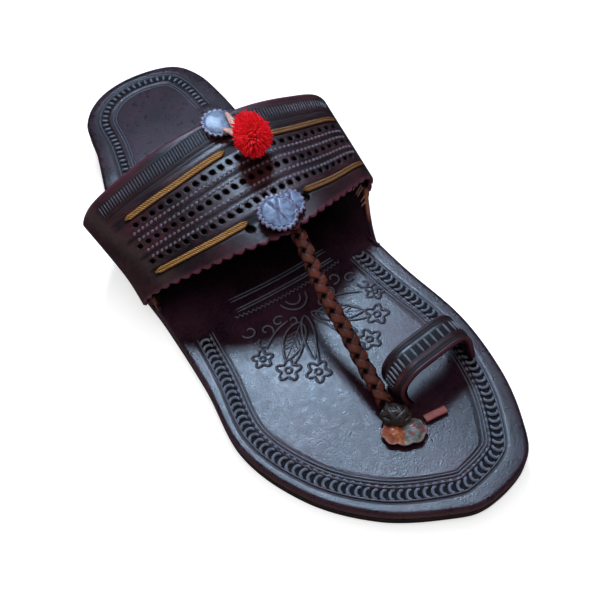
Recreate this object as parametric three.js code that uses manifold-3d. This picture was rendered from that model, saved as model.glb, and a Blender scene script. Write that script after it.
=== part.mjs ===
// A kolhapuri sandal for the right foot, in the pieces that a sandal maker puts together.
// Millimetres. +X points to the little toe's side (outer), +Y to the toes and +Z up.
import * as THREE from "three";
import { mergeVertices } from "three/addons/utils/BufferGeometryUtils.js";
import Module from "manifold-3d";

const wasm = await Module();
wasm.setup();

// Sole
const soleLength = 275;
const ballWidth = 107;
const outsoleThickness = 4.2;
const insoleThickness = 3.5;
const heelRise = 10;
const toeSpring = 3;
const edgeBevel = 0.8;
const clearance = 0.3; // between two pieces that touch on the real sandal
const recessSpare = 1.2; // room round the strap's feet in their recesses
const wallSpare = 0.55; // between the strap's walls and the insole's turned-up ears

// Strap over the instep
const instepHeight = 56;
const strapThickness = 2.2;
const strapTuck = 11; // how far each foot of the strap reaches in between the sole's layers
const earThickness = 2;
const pinkingPitch = 4.9;
const pinkingDepth = 1.4;
const holeWidth = 1.8;
const holePitch = 4.1;
const laceHoleDiameter = 3.4;
const bandThickness = 0.6;
const bandWidth = 2.6;

// Toe loop
const loopSpan = 36; // over its two shoulders
const loopHeight = 20;
const loopDepth = 13.8;
const loopThickness = 2.8;

// Thong, rosettes and pompom
const braidDiameter = 6.6;
const braidPlaitPitch = 9;
const braidRelief = 0.14; // how far its strips stand up, as a share of its radius
const knotLength = 12.6;
const knotWidth = 9.6;
const knotHeight = 7.6;
const leafLength = 17;
const leafWidth = 11.5;
const leafThickness = 1.6;
const tabWidth = 3.2;
const tabLength = 9;
const rosetteThickness = 1.3;
const frontRosetteDiameter = 16;
const smallRosetteDiameter = 12;
const rearRosetteDiameter = 13.4;
const rosetteToothPitch = 2.6;
const rosetteToothDepth = 0.9;
const petalLength = 9;
const petalThickness = 1;
const pompomDiameter = 16;
const pompomLocks = 44;
const pompomLockLength = 2.6;
const pompomLockWidth = 4.4;

const halfLength = soleLength / 2;
const halfBall = ballWidth / 2;

// The outline of the sole, by the angle round it from the heel's tip, y being -cos(angle) of half the length.
// outer and inner are the distances from the middle line, as shares of half the ball's width.
const outline = [
  { angle: 15, outer: 0.297, inner: 0.45 },
  { angle: 30, outer: 0.546, inner: 0.611 },
  { angle: 45, outer: 0.641, inner: 0.649 },
  { angle: 60, outer: 0.8, inner: 0.645 },
  { angle: 75, outer: 0.98, inner: 0.7 },
  { angle: 90, outer: 0.96, inner: 0.83 },
  { angle: 105, outer: 0.979, inner: 0.875 },
  { angle: 120, outer: 1.037, inner: 0.936 },
  { angle: 135, outer: 0.858, inner: 0.867 },
  { angle: 150, outer: 0.533, inner: 0.71 },
  { angle: 165, outer: 0.142, inner: 0.512 },
];
const heelTipShare = -0.067;
const toeTipShare = -0.129;
const outlineStep = 5; // degrees

// Where the sole's profile changes, as shares of its length from the heel's tip.
const heelSeatEnd = 0.2;
const heelBreast = 0.28;
const treadStart = 0.55;
const treadEnd = 0.8;

// One row for each line of the strap from its rear edge to its front edge, from the inner side across.
// Each end is its x as a share of half the ball's width, y of the sole's length and z of the instep's height.
const strapRows = [
  { place: "inner wall", rear: { x: -0.935, y: -0.189, z: 0.429 }, front: { x: -0.944, y: 0.006, z: 0.304 } },
  { place: "inner shoulder", rear: { x: -1.121, y: -0.165, z: 0.616 }, front: { x: -1, y: 0.006, z: 0.482 } },
  { place: "inner turn", rear: { x: -1.037, y: -0.164, z: 0.75 }, front: { x: -0.916, y: 0.018, z: 0.607 } },
  { place: "inner slope", rear: { x: -0.785, y: -0.164, z: 0.857 }, front: { x: -0.692, y: 0.036, z: 0.688 } },
  { place: "inner top", rear: { x: -0.411, y: -0.164, z: 0.955 }, front: { x: -0.374, y: 0.058, z: 0.777 } },
  { place: "middle", rear: { x: 0, y: -0.164, z: 0.982 }, front: { x: -0.019, y: 0.069, z: 0.786 } },
  { place: "outer top", rear: { x: 0.411, y: -0.164, z: 0.938 }, front: { x: 0.374, y: 0.053, z: 0.741 } },
  { place: "outer slope", rear: { x: 0.785, y: -0.164, z: 0.83 }, front: { x: 0.673, y: 0.031, z: 0.634 } },
  { place: "outer turn", rear: { x: 1.037, y: -0.164, z: 0.714 }, front: { x: 0.888, y: 0.006, z: 0.5 } },
  { place: "outer shoulder", rear: { x: 1.121, y: -0.164, z: 0.598 }, front: { x: 0.99, y: -0.016, z: 0.348 } },
  { place: "outer wall", rear: { x: 0.991, y: -0.189, z: 0.393 }, front: { x: 1.02, y: -0.028, z: 0.232 } },
];
// Where the strap's feet stand along the sole, as shares of its length.
const strapFeet = { rearY: -0.207, innerFrontY: 0.004, outerFrontY: -0.038 };

// The strap's pattern. along is the share of the way from the strap's rear edge to its front edge, at the
// pattern's middle. Places across are from the strap's middle line, outwards above 0, as shares of half the
// ball's width.
const patternMiddle = -0.075 * halfBall;
const patternSag = 0.046; // how much further forward each line runs at the sides, as a share of the same way
const patternSagReach = 0.6 * halfBall; // distance from the pattern's middle where the sag is reached
const holeRows = [
  { along: 0.355, count: 25, middle: -0.056 },
  { along: 0.527, count: 27, middle: -0.05 },
  { along: 0.69, count: 26, middle: -0.006 },
];
const laceHoles = [
  { along: 0.86, across: 0.206 },
  { along: 0.85, across: -0.308 },
];
const goldBands = [
  { name: "outer_rear", along: 0.272, from: 0, to: 0.9 },
  { name: "outer_front", along: 0.79, from: 0.187, to: 0.99 },
  { name: "inner_rear", along: 0.272, from: -1.047, to: -0.374 },
  { name: "inner_front", along: 0.79, from: -1.047, to: -0.318 },
];
const frontRosetteAt = { across: -0.019, along: 0.87 };
const smallRosetteAt = { across: -0.156, along: 0.845 };
const rearRosetteAt = { across: -0.084, along: 0.078 };
const pompomAt = { across: -0.178, along: 0.365 };
const petalsAt = { across: -0.165, along: 0.25 };

// The thong's middle line from under the strap down to its knot: x as a share of half the ball's width,
// y of half the sole's length and z of the instep's height.
const braidPath = [
  { x: -0.127, y: 0.0873, z: 0.7036 },
  { x: -0.116, y: 0.1382, z: 0.6929 },
  { x: -0.041, y: 0.291, z: 0.5607 },
  { x: -0.017, y: 0.4218, z: 0.4286 },
  { x: 0.0075, y: 0.5382, z: 0.3107 },
  { x: 0.022, y: 0.6255, z: 0.225 },
];
// Places on the insole, as the same shares, and turns in degrees from straight across.
const knotAt = { x: 0.02, y: 0.6725, turn: -38 };
const leafAt = { x: 0.036, y: 0.7185, turn: -30 };
const tabAt = { x: -0.232, y: 0.722, turn: -7 };
const loopAt = { x: -0.393, y: 0.6036 };
const loopLean = -1.5; // how much further forward the loop's top stands than its feet
const loopSkew = 3.5; // how much further forward its outer foot stands than its inner one

// Number helpers
const mix = (a, b, share) => a + (b - a) * share;
const clamp01 = (value) => Math.min(Math.max(value, 0), 1);
const smooth = (value) => clamp01(value) ** 2 * (3 - 2 * clamp01(value));
const vector = (x, y, z) => new THREE.Vector3(x, y, z);

// A smooth closed run of numbers, read at any place between them (Catmull-Rom).
function smoothRun(values, at) {
  const n = values.length;
  const first = Math.floor(at);
  const f = at - first;
  const [a, b, c, d] = [-1, 0, 1, 2].map((k) => values[(((first + k) % n) + n) % n]);
  return b + 0.5 * f * (c - a + f * (2 * a - 5 * b + 4 * c - d + f * (3 * (b - c) + d - a)));
}

// Solid helpers
function toSolid(geometry) {
  const plain = geometry.clone();
  plain.deleteAttribute("normal");
  plain.deleteAttribute("uv");
  const merged = mergeVertices(plain, 1e-4);
  return new wasm.Manifold(
    new wasm.Mesh({
      numProp: 3,
      vertProperties: merged.attributes.position.array,
      triVerts: new Uint32Array(merged.index.array),
    }),
  );
}

function solidFrom(points, faces) {
  const geometry = new THREE.BufferGeometry();
  const flat = points.flatMap((p) => [p.x, p.y, p.z]);
  geometry.setAttribute("position", new THREE.Float32BufferAttribute(flat, 3));
  geometry.setIndex(faces.flat());
  return toSolid(geometry);
}

// A body through closed loops of as many points each, lowest first and anticlockwise from above.
// Its ends are closed by rungs between the points on the loop's two sides.
function stacked(loops) {
  const n = loops[0].length;
  const faces = [];
  for (let k = 0; k + 1 < loops.length; k++) {
    for (let i = 0; i < n; i++) {
      const [a, b] = [k * n + i, k * n + ((i + 1) % n)];
      faces.push([a, b, b + n], [a, b + n, a + n]);
    }
  }
  const top = (loops.length - 1) * n;
  for (let i = 0; i + 1 <= n - i - 1; i++) {
    const ring = [i, i + 1, n - i - 1, (n - i) % n];
    const corners = ring.filter((corner, k) => ring.indexOf(corner) === k);
    for (let k = 1; k + 1 < corners.length; k++) {
      faces.push([top + corners[0], top + corners[k], top + corners[k + 1]]);
      faces.push([corners[0], corners[k + 1], corners[k]]);
    }
  }
  return solidFrom(loops.flat(), faces);
}

// A closed sheet between two surfaces, each a function of the shares across and along.
function sheet(columns, rows, lower, upper) {
  const points = [];
  for (const surface of [lower, upper]) {
    for (let i = 0; i <= columns; i++) {
      for (let j = 0; j <= rows; j++) points.push(surface(i / columns, j / rows, i, j));
    }
  }
  const low = (i, j) => i * (rows + 1) + j;
  const high = (i, j) => low(i, j) + (columns + 1) * (rows + 1);
  const faces = [];
  const quad = (a, b, c, d) => faces.push([a, b, c], [a, c, d]);
  for (let i = 0; i < columns; i++) {
    for (let j = 0; j < rows; j++) {
      quad(high(i, j), high(i + 1, j), high(i + 1, j + 1), high(i, j + 1));
      quad(low(i, j), low(i, j + 1), low(i + 1, j + 1), low(i + 1, j));
    }
    quad(low(i, 0), low(i + 1, 0), high(i + 1, 0), high(i, 0));
    quad(low(i + 1, rows), low(i, rows), high(i, rows), high(i + 1, rows));
  }
  for (let j = 0; j < rows; j++) {
    quad(low(0, j + 1), low(0, j), high(0, j), high(0, j + 1));
    quad(low(columns, j), low(columns, j + 1), high(columns, j + 1), high(columns, j));
  }
  return solidFrom(points, faces);
}

// Heights of the sole along its length
function rise(y) {
  const share = (y + halfLength) / soleLength;
  const heel = smooth((treadStart - share) / (treadStart - heelSeatEnd));
  const toe = clamp01((share - treadEnd) / (1 - treadEnd)) ** 2;
  return heelRise * heel + toeSpring * toe;
}
const outsoleTop = (y) => rise(y) + outsoleThickness;
const insoleBottom = (y) => outsoleTop(y) + clearance;
const insoleTop = (y) => insoleBottom(y) + insoleThickness;

// Outline of the sole
const outlineRun = [
  heelTipShare,
  ...outline.map((row) => row.outer),
  toeTipShare,
  ...outline.map((row) => -row.inner).reverse(),
];
const outlineRowStep = 360 / outlineRun.length;

function outlinePoint(angle) {
  const x = halfBall * smoothRun(outlineRun, angle / outlineRowStep);
  const y = -halfLength * Math.cos(THREE.MathUtils.degToRad(angle));
  return new THREE.Vector2(x, y);
}

// The sole's edge at a place along it: side is 1 for the outer edge and -1 for the inner one.
function edgeX(side, y) {
  const angle = THREE.MathUtils.radToDeg(Math.acos(THREE.MathUtils.clamp(-y / halfLength, -1, 1)));
  return outlinePoint(side > 0 ? angle : 360 - angle).x;
}

// A loop round the sole, moved inwards by inset, with each point's height from a function of y.
function soleLoop(inset, height) {
  const loop = [];
  for (let angle = 0; angle < 360; angle += outlineStep) {
    const here = outlinePoint(angle);
    const along = outlinePoint(angle + 1).sub(outlinePoint(angle - 1)).normalize();
    const [x, y] = [here.x - along.y * inset, here.y + along.x * inset];
    loop.push(vector(x, y, height(y)));
  }
  return loop;
}

// The strap's surface
const tuckRadius = 2.6; // of the bend where the strap turns in between the layers
const wallInset = strapThickness / 2 + 0.2;

// The rows of one foot at a place along the strap, from its tip outwards.
function footRows(side, along) {
  const frontY = side > 0 ? strapFeet.outerFrontY : strapFeet.innerFrontY;
  const y = soleLength * mix(strapFeet.rearY, frontY, along);
  const edge = Math.abs(edgeX(side, y));
  const z = outsoleTop(y) - strapThickness / 2;
  const bendFrom = edge - wallInset - tuckRadius;
  const bend = [0, 45, 90].map((turn) => {
    const angle = THREE.MathUtils.degToRad(turn);
    const x = bendFrom + tuckRadius * Math.sin(angle);
    return vector(side * x, y, z + tuckRadius * (1 - Math.cos(angle)));
  });
  return [vector(side * (edge - strapTuck), y, z), ...bend];
}

const strapCurves = new Map();
function strapCurve(along) {
  if (!strapCurves.has(along)) {
    const middle = strapRows.map(({ rear, front }) =>
      vector(
        halfBall * mix(rear.x, front.x, along),
        soleLength * mix(rear.y, front.y, along),
        instepHeight * mix(rear.z, front.z, along),
      ),
    );
    const points = [...footRows(-1, along), ...middle, ...footRows(1, along).reverse()];
    strapCurves.set(along, new THREE.CatmullRomCurve3(points, false, "centripetal"));
  }
  return strapCurves.get(along);
}
const strapRowCount = strapRows.length + 2 * footRows(1, 0).length;
const rowAt = (index) => index / (strapRowCount - 1);
const placeAt = (place) => rowAt(strapRows.findIndex((row) => row.place === place) + footRows(1, 0).length);

// A point on the strap: t runs across it from the inner foot's tip to the outer one's, along from rear to
// front, and lift is the distance outwards from the middle of the leather.
function strapPoint(t, along, lift) {
  const small = 1e-3;
  const here = strapCurve(along).getPoint(t);
  const [low, high] = [Math.max(t - small, 0), Math.min(t + small, 1)];
  const across = strapCurve(along).getPoint(high).sub(strapCurve(along).getPoint(low));
  const forward = strapCurve(along + small).getPoint(t).sub(strapCurve(along - small).getPoint(t));
  return here.add(across.cross(forward).normalize().multiplyScalar(lift));
}

// Distance across the strap's middle, from its middle line, turned into t.
const measureAlong = 0.5;
const measureSteps = 400;
const distances = [0];
for (let i = 1; i <= measureSteps; i++) {
  const curve = strapCurve(measureAlong);
  const stretch = curve.getPoint(i / measureSteps).distanceTo(curve.getPoint((i - 1) / measureSteps));
  distances.push(distances[i - 1] + stretch);
}
const middleDistance = distances[Math.round(placeAt("middle") * measureSteps)];
const strapSpan = distances[measureSteps];
function tAt(distance) {
  const wanted = THREE.MathUtils.clamp(distance + middleDistance, 0, strapSpan);
  const i = Math.max(distances.findIndex((d) => d >= wanted), 1);
  return (i - 1 + (wanted - distances[i - 1]) / (distances[i] - distances[i - 1])) / measureSteps;
}

// A sheet that follows the strap between two lifts, over a range across and along.
function strapSheet(columns, rows, range, lowLift, highLift) {
  const surface = (lift) => (share, along) =>
    strapPoint(mix(range.t[0], range.t[1], share), mix(range.along[0], range.along[1], along), lift);
  return sheet(columns, rows, surface(lowLift), surface(highLift));
}

const strapDepth = soleLength * (strapFeet.innerFrontY - strapFeet.rearY);
const overStrap = strapThickness / 2 + clearance; // where a piece that lies on the strap starts
const overRosette = overStrap + rosetteThickness + clearance; // and one that lies on a rosette

// Where a line of the pattern runs at a distance across the strap.
const sagged = (along, distance) =>
  along + patternSag * smooth(Math.abs(distance - patternMiddle) / patternSagReach);

// A square punch through the strap, its sides along and across it.
function punch(distance, along) {
  const half = holeWidth / 2;
  const range = {
    t: [tAt(distance - half), tAt(distance + half)],
    along: [along - half / strapDepth, along + half / strapDepth],
  };
  return strapSheet(1, 1, range, -strapThickness, strapThickness);
}

// A round peg square to the strap's surface, for a lace hole.
function lacePeg(hole) {
  const t = tAt(hole.across * halfBall);
  const root = strapPoint(t, hole.along, 0);
  const out = strapPoint(t, hole.along, 1).sub(root);
  const radius = laceHoleDiameter / 2;
  const peg = new THREE.CylinderGeometry(radius, radius, 3 * strapThickness, 8);
  peg.applyQuaternion(new THREE.Quaternion().setFromUnitVectors(vector(0, 1, 0), out.normalize()));
  peg.translate(root.x, root.y, root.z);
  return toSolid(peg);
}

// Outsole, insole with its ears, and heel
function outsole() {
  const slab = stacked([
    soleLoop(edgeBevel, rise),
    soleLoop(0, (y) => rise(y) + edgeBevel),
    soleLoop(0, outsoleTop),
  ]);
  return [-1, 1].reduce((body, side) => body.subtract(footRecess(side)), slab);
}

// The shallow recess in the outsole that takes a foot of the strap.
function footRecess(side) {
  const spare = recessSpare / (soleLength * (strapFeet.outerFrontY - strapFeet.rearY));
  const surface = (drop) => (share, along) => {
    const foot = footRows(side, mix(-spare, 1 + spare, along));
    const [x, y] = [foot[0].x - side * recessSpare, foot[0].y];
    const reach = mix(0, strapTuck + edgeBevel + recessSpare, side > 0 ? share : 1 - share);
    return vector(x + side * reach, y, outsoleTop(y) + drop);
  };
  return sheet(1, 8, surface(-strapThickness - clearance), surface(strapThickness));
}

// The leather ear that is turned up from the insole inside the strap's wall.
const earReach = { rear: -0.05, front: 1.07 }; // its ends, as shares of the way along the strap
const earTop = 0.7; // share of the way from the strap's wall row up to its shoulder row
const earRoot = 6; // how far inside the wall the ear grows out of the insole
function ear(side) {
  const shift = strapThickness / 2 + wallSpare + earThickness / 2;
  const [wall, shoulder] = side > 0 ? ["outer wall", "outer shoulder"] : ["inner wall", "inner shoulder"];
  const curve = (along) => {
    const foot = footRows(side, along).at(-1);
    const y = foot.y;
    const x = foot.x - side * shift;
    const top = mix(placeAt(wall), placeAt(shoulder), earTop);
    return new THREE.CatmullRomCurve3(
      [
        vector(x - side * earRoot, y, insoleBottom(y) + insoleThickness / 2),
        vector(x - side * 0.2 * earRoot, y, insoleBottom(y) + 0.6 * insoleThickness),
        strapPoint(placeAt(wall), along, -shift),
        strapPoint(top, along, -shift),
      ],
      false,
      "centripetal",
    );
  };
  const surface = (lift) => (share, along) => {
    const small = 1e-3;
    const at = mix(earReach.rear, earReach.front, along);
    const t = mix(small, 1 - small, side > 0 ? 1 - share : share);
    const across = curve(at).getPoint(t + small).sub(curve(at).getPoint(t - small));
    const forward = curve(at + small).getPoint(t).sub(curve(at - small).getPoint(t));
    const out = across.cross(forward).normalize().multiplyScalar(-side * lift);
    return curve(at).getPoint(t).add(out);
  };
  return sheet(7, 4, surface(-earThickness / 2), surface(earThickness / 2));
}
// What the strap's wall needs free inside it and beside it, so that the insole ends at the wall.
function wallRoom(side) {
  const ends = side > 0 ? [1, placeAt("outer turn")] : [0, placeAt("inner turn")];
  const range = { t: [Math.min(...ends), Math.max(...ends)], along: [-0.02, 1.02] };
  return strapSheet(16, 4, range, -strapThickness / 2 - wallSpare, 3 * strapThickness);
}

function insole() {
  const slab = stacked([
    soleLoop(0, insoleBottom),
    soleLoop(0, (y) => insoleTop(y) - edgeBevel),
    soleLoop(edgeBevel, insoleTop),
  ]);
  const eared = [-1, 1].reduce((body, side) => body.add(ear(side)).subtract(wallRoom(side)), slab);
  return eared.subtract(loopBand(clearance));
}

function heelLift() {
  const topped = (y) => Math.max(rise(y) - clearance, edgeBevel);
  const block = stacked([soleLoop(2 * edgeBevel, () => 0), soleLoop(edgeBevel, topped)]);
  const kept = new THREE.BoxGeometry(2 * ballWidth, heelBreast * soleLength, 4 * heelRise);
  kept.translate(0, -halfLength + (heelBreast * soleLength) / 2, 0);
  return block.intersect(toSolid(kept));
}

// Strap
function instepStrap() {
  const columns = 2 * Math.round(strapSpan / pinkingPitch);
  const pinked = pinkingDepth / strapDepth;
  const surface = (lift) => (share, along, i) => {
    const notch = along === 1 && i % 2 ? pinked : 0;
    return strapPoint(tAt(share * strapSpan - middleDistance), along - notch, lift);
  };
  let strap = sheet(columns, 3, surface(-strapThickness / 2), surface(strapThickness / 2));
  for (const row of holeRows) {
    for (let k = 0; k < row.count; k++) {
      const distance = row.middle * halfBall + (k - (row.count - 1) / 2) * holePitch;
      strap = strap.subtract(punch(distance, sagged(row.along, distance)));
    }
  }
  for (const hole of laceHoles) strap = strap.subtract(lacePeg(hole));
  return strap;
}

function goldBand(band) {
  const surface = (lift) => (share, side) => {
    const distance = mix(band.from, band.to, share) * halfBall;
    const along = sagged(band.along, distance) + ((side - 0.5) * bandWidth) / strapDepth;
    return strapPoint(tAt(distance), along, lift);
  };
  return sheet(16, 1, surface(overStrap), surface(overStrap + bandThickness));
}

// Toe loop: the rows of its arch from the inner foot to the outer one, as shares of half its span and of
// its height. The feet run on down through the insole.
const loopRows = [
  { out: -1.18, up: 0.02 },
  { out: -1.1, up: 0.35 },
  { out: -1, up: 0.7 },
  { out: -0.74, up: 0.94 },
  { out: 0, up: 1 },
  { out: 0.72, up: 0.95 },
  { out: 0.98, up: 0.74 },
  { out: 0.97, up: 0.38 },
  { out: 0.82, up: 0.02 },
];

// The loop's band, or with spare above 0 the room that it needs in the insole's slits.
function loopBand(spare) {
  const tall = loopHeight - loopThickness / 2;
  const foot = -(insoleThickness + 4 * spare) / tall;
  const rows = [{ ...loopRows[0], up: foot }, ...loopRows, { ...loopRows.at(-1), up: foot }];
  const arch = (share) => {
    const y = loopAt.y * halfLength + (share - 0.5) * (loopDepth + 2 * spare);
    const points = rows.map(({ out, up }) =>
      vector(
        loopAt.x * halfBall + (out * (loopSpan - loopThickness)) / 2,
        y + loopLean * Math.max(up, 0) + (loopSkew * out) / 2,
        insoleTop(y) + up * tall,
      ),
    );
    return new THREE.CatmullRomCurve3(points, false, "centripetal");
  };
  const surface = (lift) => (t, along) => {
    const small = 1e-3;
    const [low, high] = [Math.max(t - small, 0), Math.min(t + small, 1)];
    const across = arch(along).getPoint(high).sub(arch(along).getPoint(low));
    const forward = arch(along + small).getPoint(t).sub(arch(along - small).getPoint(t));
    return arch(along).getPoint(t).add(across.cross(forward).normalize().multiplyScalar(lift));
  };
  const half = loopThickness / 2 + spare;
  return sheet(30, 2, surface(-half), surface(half));
}

// Plaited thong: a round core whose strips cross as raised lobes.
function braid() {
  const points = braidPath.map(({ x, y, z }) => vector(x * halfBall, y * halfLength, z * instepHeight));
  const curve = new THREE.CatmullRomCurve3(points, false, "centripetal");
  const length = curve.getLength();
  const [rings, sides] = [5 * Math.round(length / braidPlaitPitch), 12];
  const loops = [];
  for (let k = 0; k <= rings; k++) {
    const at = curve.getPointAt(k / rings);
    const along = curve.getTangentAt(k / rings);
    const side = vector(0, 0, 1).cross(along).normalize();
    const up = along.clone().cross(side);
    const turn = (2 * Math.PI * length * k) / (rings * braidPlaitPitch);
    const end = k === 0 || k === rings ? 0.6 : 1; // the plait is bound tighter at its ends
    const loop = [];
    for (let i = 0; i < sides; i++) {
      const angle = (2 * Math.PI * i) / sides;
      const strip = Math.max(Math.cos(2 * angle + turn), Math.cos(2 * angle - turn));
      const radius = (end * braidDiameter * (1 - braidRelief + braidRelief * strip)) / 2;
      const offset = side.clone().multiplyScalar(radius * Math.cos(angle));
      loop.push(at.clone().add(offset).addScaledVector(up, radius * Math.sin(angle)));
    }
    loops.push(loop);
  }
  return stacked(loops);
}

// A squashed ball that stands on a seat, its length turned from straight across.
function ballOn(x, y, turn, size, seat) {
  const ball = new THREE.IcosahedronGeometry(0.5, 2);
  ball.scale(size.length, size.width, size.height);
  ball.rotateZ(THREE.MathUtils.degToRad(turn));
  ball.translate(x, y, seat + size.height / 2);
  return toSolid(ball);
}

// The knot that the plait runs into, with spare round it for what it stands on.
function knotBall(spare) {
  const [x, y] = [knotAt.x * halfBall, knotAt.y * halfLength];
  const [length, width, height] = [knotLength, knotWidth, knotHeight].map((size) => size + 2 * spare);
  return ballOn(x, y, knotAt.turn, { length, width, height }, insoleTop(y) + clearance - spare);
}

// The knot, hollowed where the plait's end sits.
function braidKnot() {
  const end = braidPath.at(-1);
  const width = braidDiameter + 3 * clearance;
  const [x, y, z] = [end.x * halfBall, end.y * halfLength - braidDiameter / 4, end.z * instepHeight];
  const hollow = ballOn(x, y, 0, { length: width, width, height: width }, z - width / 2);
  return knotBall(0).subtract(hollow);
}

// Flat pieces that lie on the insole: an outline made solid.
function layOn(shape, place) {
  const [x, y] = [place.x * halfBall, place.y * halfLength];
  const geometry = new THREE.ExtrudeGeometry(shape, { depth: leafThickness, bevelEnabled: false });
  geometry.rotateZ(THREE.MathUtils.degToRad(place.turn));
  geometry.translate(x, y, insoleTop(y) + clearance);
  return toSolid(geometry);
}

// The cut leather leaf: an oval with a scalloped edge, from a formula for its radius at each angle.
function toeLeaf() {
  const [points, scallops, scallopDepth] = [48, 8, 0.12];
  const outlinePoints = [];
  for (let i = 0; i < points; i++) {
    const angle = (2 * Math.PI * i) / points;
    const radius = (1 - scallopDepth * (1 - Math.abs(Math.cos((scallops * angle) / 2)))) / 2;
    const [x, y] = [leafLength * radius * Math.cos(angle), leafWidth * radius * Math.sin(angle)];
    outlinePoints.push(new THREE.Vector2(x, y));
  }
  return layOn(new THREE.Shape(outlinePoints), leafAt).subtract(knotBall(2 * clearance));
}

function toeTab() {
  const [x, y] = [tabLength / 2, tabWidth / 2];
  const shape = new THREE.Shape([
    new THREE.Vector2(-x, -y),
    new THREE.Vector2(x, -y),
    new THREE.Vector2(x, y),
    new THREE.Vector2(-x, y),
  ]);
  return layOn(shape, tabAt);
}

// A pinked leather disc that follows the strap's surface.
function rosette(at, diameter, lift) {
  const teeth = Math.round((Math.PI * diameter) / rosetteToothPitch);
  const surface = (height) => (turn, radial, i) => {
    const angle = 2 * Math.PI * turn;
    const reach = radial * (diameter / 2 - (i % 2 ? rosetteToothDepth : 0));
    const t = tAt(at.across * halfBall + reach * Math.cos(angle));
    return strapPoint(t, at.along + (reach * Math.sin(angle)) / strapDepth, height);
  };
  const [low, high] = [surface(lift), surface(lift + rosetteThickness)];
  const points = [low(0, 0, 0), high(0, 0, 0)];
  const count = 2 * teeth;
  for (let i = 0; i < count; i++) points.push(low(i / count, 1, i), high(i / count, 1, i));
  const faces = [];
  for (let i = 0; i < count; i++) {
    const [a, b] = [2 + 2 * i, 2 + 2 * ((i + 1) % count)];
    faces.push([0, b, a], [1, a + 1, b + 1], [a, b, b + 1], [a, b + 1, a + 1]);
  }
  return solidFrom(points, faces);
}

// Petals that show behind the pompom, over the rear rosette: three blades in a fan.
function rearPetals() {
  const blade = (turn) => {
    const angle = THREE.MathUtils.degToRad(turn);
    const surface = (height) => (share, along) => {
      const width = 0.42 * petalLength * Math.sin(Math.PI * mix(0.12, 0.88, along)) * (0.5 - share);
      const out = mix(-0.35, 0.75, along) * petalLength;
      const across = petalsAt.across * halfBall + out * Math.sin(angle) + width * Math.cos(angle);
      const back = -out * Math.cos(angle) + width * Math.sin(angle);
      return strapPoint(tAt(across), petalsAt.along + back / strapDepth, height);
    };
    return sheet(1, 3, surface(overRosette), surface(overRosette + petalThickness));
  };
  return [-38, 0, 36].map(blade).reduce((fan, next) => fan.add(next));
}

// Pompom: a ball with tapered locks fused on, seated over the petals.
function pompom() {
  const middle = pompomAt.across * halfBall;
  const t = tAt(middle);
  const seat = strapPoint(t, pompomAt.along, 0);
  const out = strapPoint(t, pompomAt.along, 1).sub(seat);
  const centre = seat.clone().addScaledVector(out, overRosette + 0.47 * pompomDiameter);
  const ball = new THREE.IcosahedronGeometry(pompomDiameter / 2, 2);
  ball.translate(centre.x, centre.y, centre.z);
  let tuft = toSolid(ball);
  const goldenAngle = Math.PI * (3 - Math.sqrt(5));
  const covered = 1.45; // share of the ball's radius that the locks cover, from its top down
  for (let k = 0; k < pompomLocks; k++) {
    const height = 1 - (covered * (k + 0.5)) / pompomLocks;
    const ring = Math.sqrt(1 - height * height);
    const way = vector(ring * Math.cos(k * goldenAngle), ring * Math.sin(k * goldenAngle), height);
    const length = pompomDiameter / 2 + pompomLockLength * (0.75 + 0.25 * Math.sin(7 * k));
    const lock = new THREE.ConeGeometry(pompomLockWidth / 2, length, 4);
    lock.translate(0, length / 2, 0);
    lock.applyQuaternion(new THREE.Quaternion().setFromUnitVectors(vector(0, 1, 0), way));
    lock.translate(centre.x, centre.y, centre.z);
    tuft = tuft.add(toSolid(lock));
  }
  const reach = pompomDiameter + 2 * pompomLockLength;
  const range = {
    t: [tAt(middle - reach), tAt(middle + reach)],
    along: [pompomAt.along - reach / strapDepth, pompomAt.along + reach / strapDepth],
  };
  return tuft.subtract(strapSheet(6, 4, range, -reach, overRosette + petalThickness + clearance));
}

// Materials, and the assembly with its origin at the middle of the box's base
function leather(color, roughness) {
  return new THREE.MeshStandardMaterial({ color, roughness, metalness: 0 });
}
const darkLeather = leather("#2b1f25", 0.42);
const soleLeather = leather("#1f1719", 0.6);
const strapLeather = leather("#33202a", 0.4);
const redLeather = leather("#5a2420", 0.45);
const rosetteLeather = leather("#6f6a80", 0.5);
const zari = new THREE.MeshStandardMaterial({ color: "#b5761c", roughness: 0.45, metalness: 0.5 });
const petal = leather("#e0a79a", 0.7);
const wool = leather("#d3131f", 0.9);

const pieces = [
  ["outsole", outsole, soleLeather],
  ["insole", insole, darkLeather],
  ["heel_lift", heelLift, soleLeather],
  ["instep_strap", instepStrap, strapLeather],
  ["toe_loop", () => loopBand(0), strapLeather],
  ["braid", braid, redLeather],
  ["braid_knot", braidKnot, redLeather],
  ["toe_leaf", toeLeaf, redLeather],
  ["toe_tab", toeTab, redLeather],
  ["front_rosette", () => rosette(frontRosetteAt, frontRosetteDiameter, overRosette), rosetteLeather],
  ["front_rosette_small", () => rosette(smallRosetteAt, smallRosetteDiameter, overStrap), rosetteLeather],
  ["rear_rosette", () => rosette(rearRosetteAt, rearRosetteDiameter, overStrap), rosetteLeather],
  ["rear_petals", rearPetals, petal],
  ["pompom", pompom, wool],
];
for (const band of goldBands) pieces.push([`gold_band_${band.name}`, () => goldBand(band), zari]);

function toMesh(name, solid, material) {
  const made = solid.getMesh();
  const geometry = new THREE.BufferGeometry();
  geometry.setAttribute("position", new THREE.BufferAttribute(new Float32Array(made.vertProperties), 3));
  geometry.setIndex(new THREE.BufferAttribute(new Uint32Array(made.triVerts), 1));
  const mesh = new THREE.Mesh(geometry, material);
  mesh.name = name;
  return mesh;
}

const sandal = new THREE.Group();
for (const [name, make, material] of pieces) sandal.add(toMesh(name, make(), material));
const box = new THREE.Box3().setFromObject(sandal);
const middle = box.getCenter(new THREE.Vector3());
sandal.position.set(-middle.x, -middle.y, -box.min.z);

const model = new THREE.Group();
model.add(sandal);
export default model;
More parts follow.
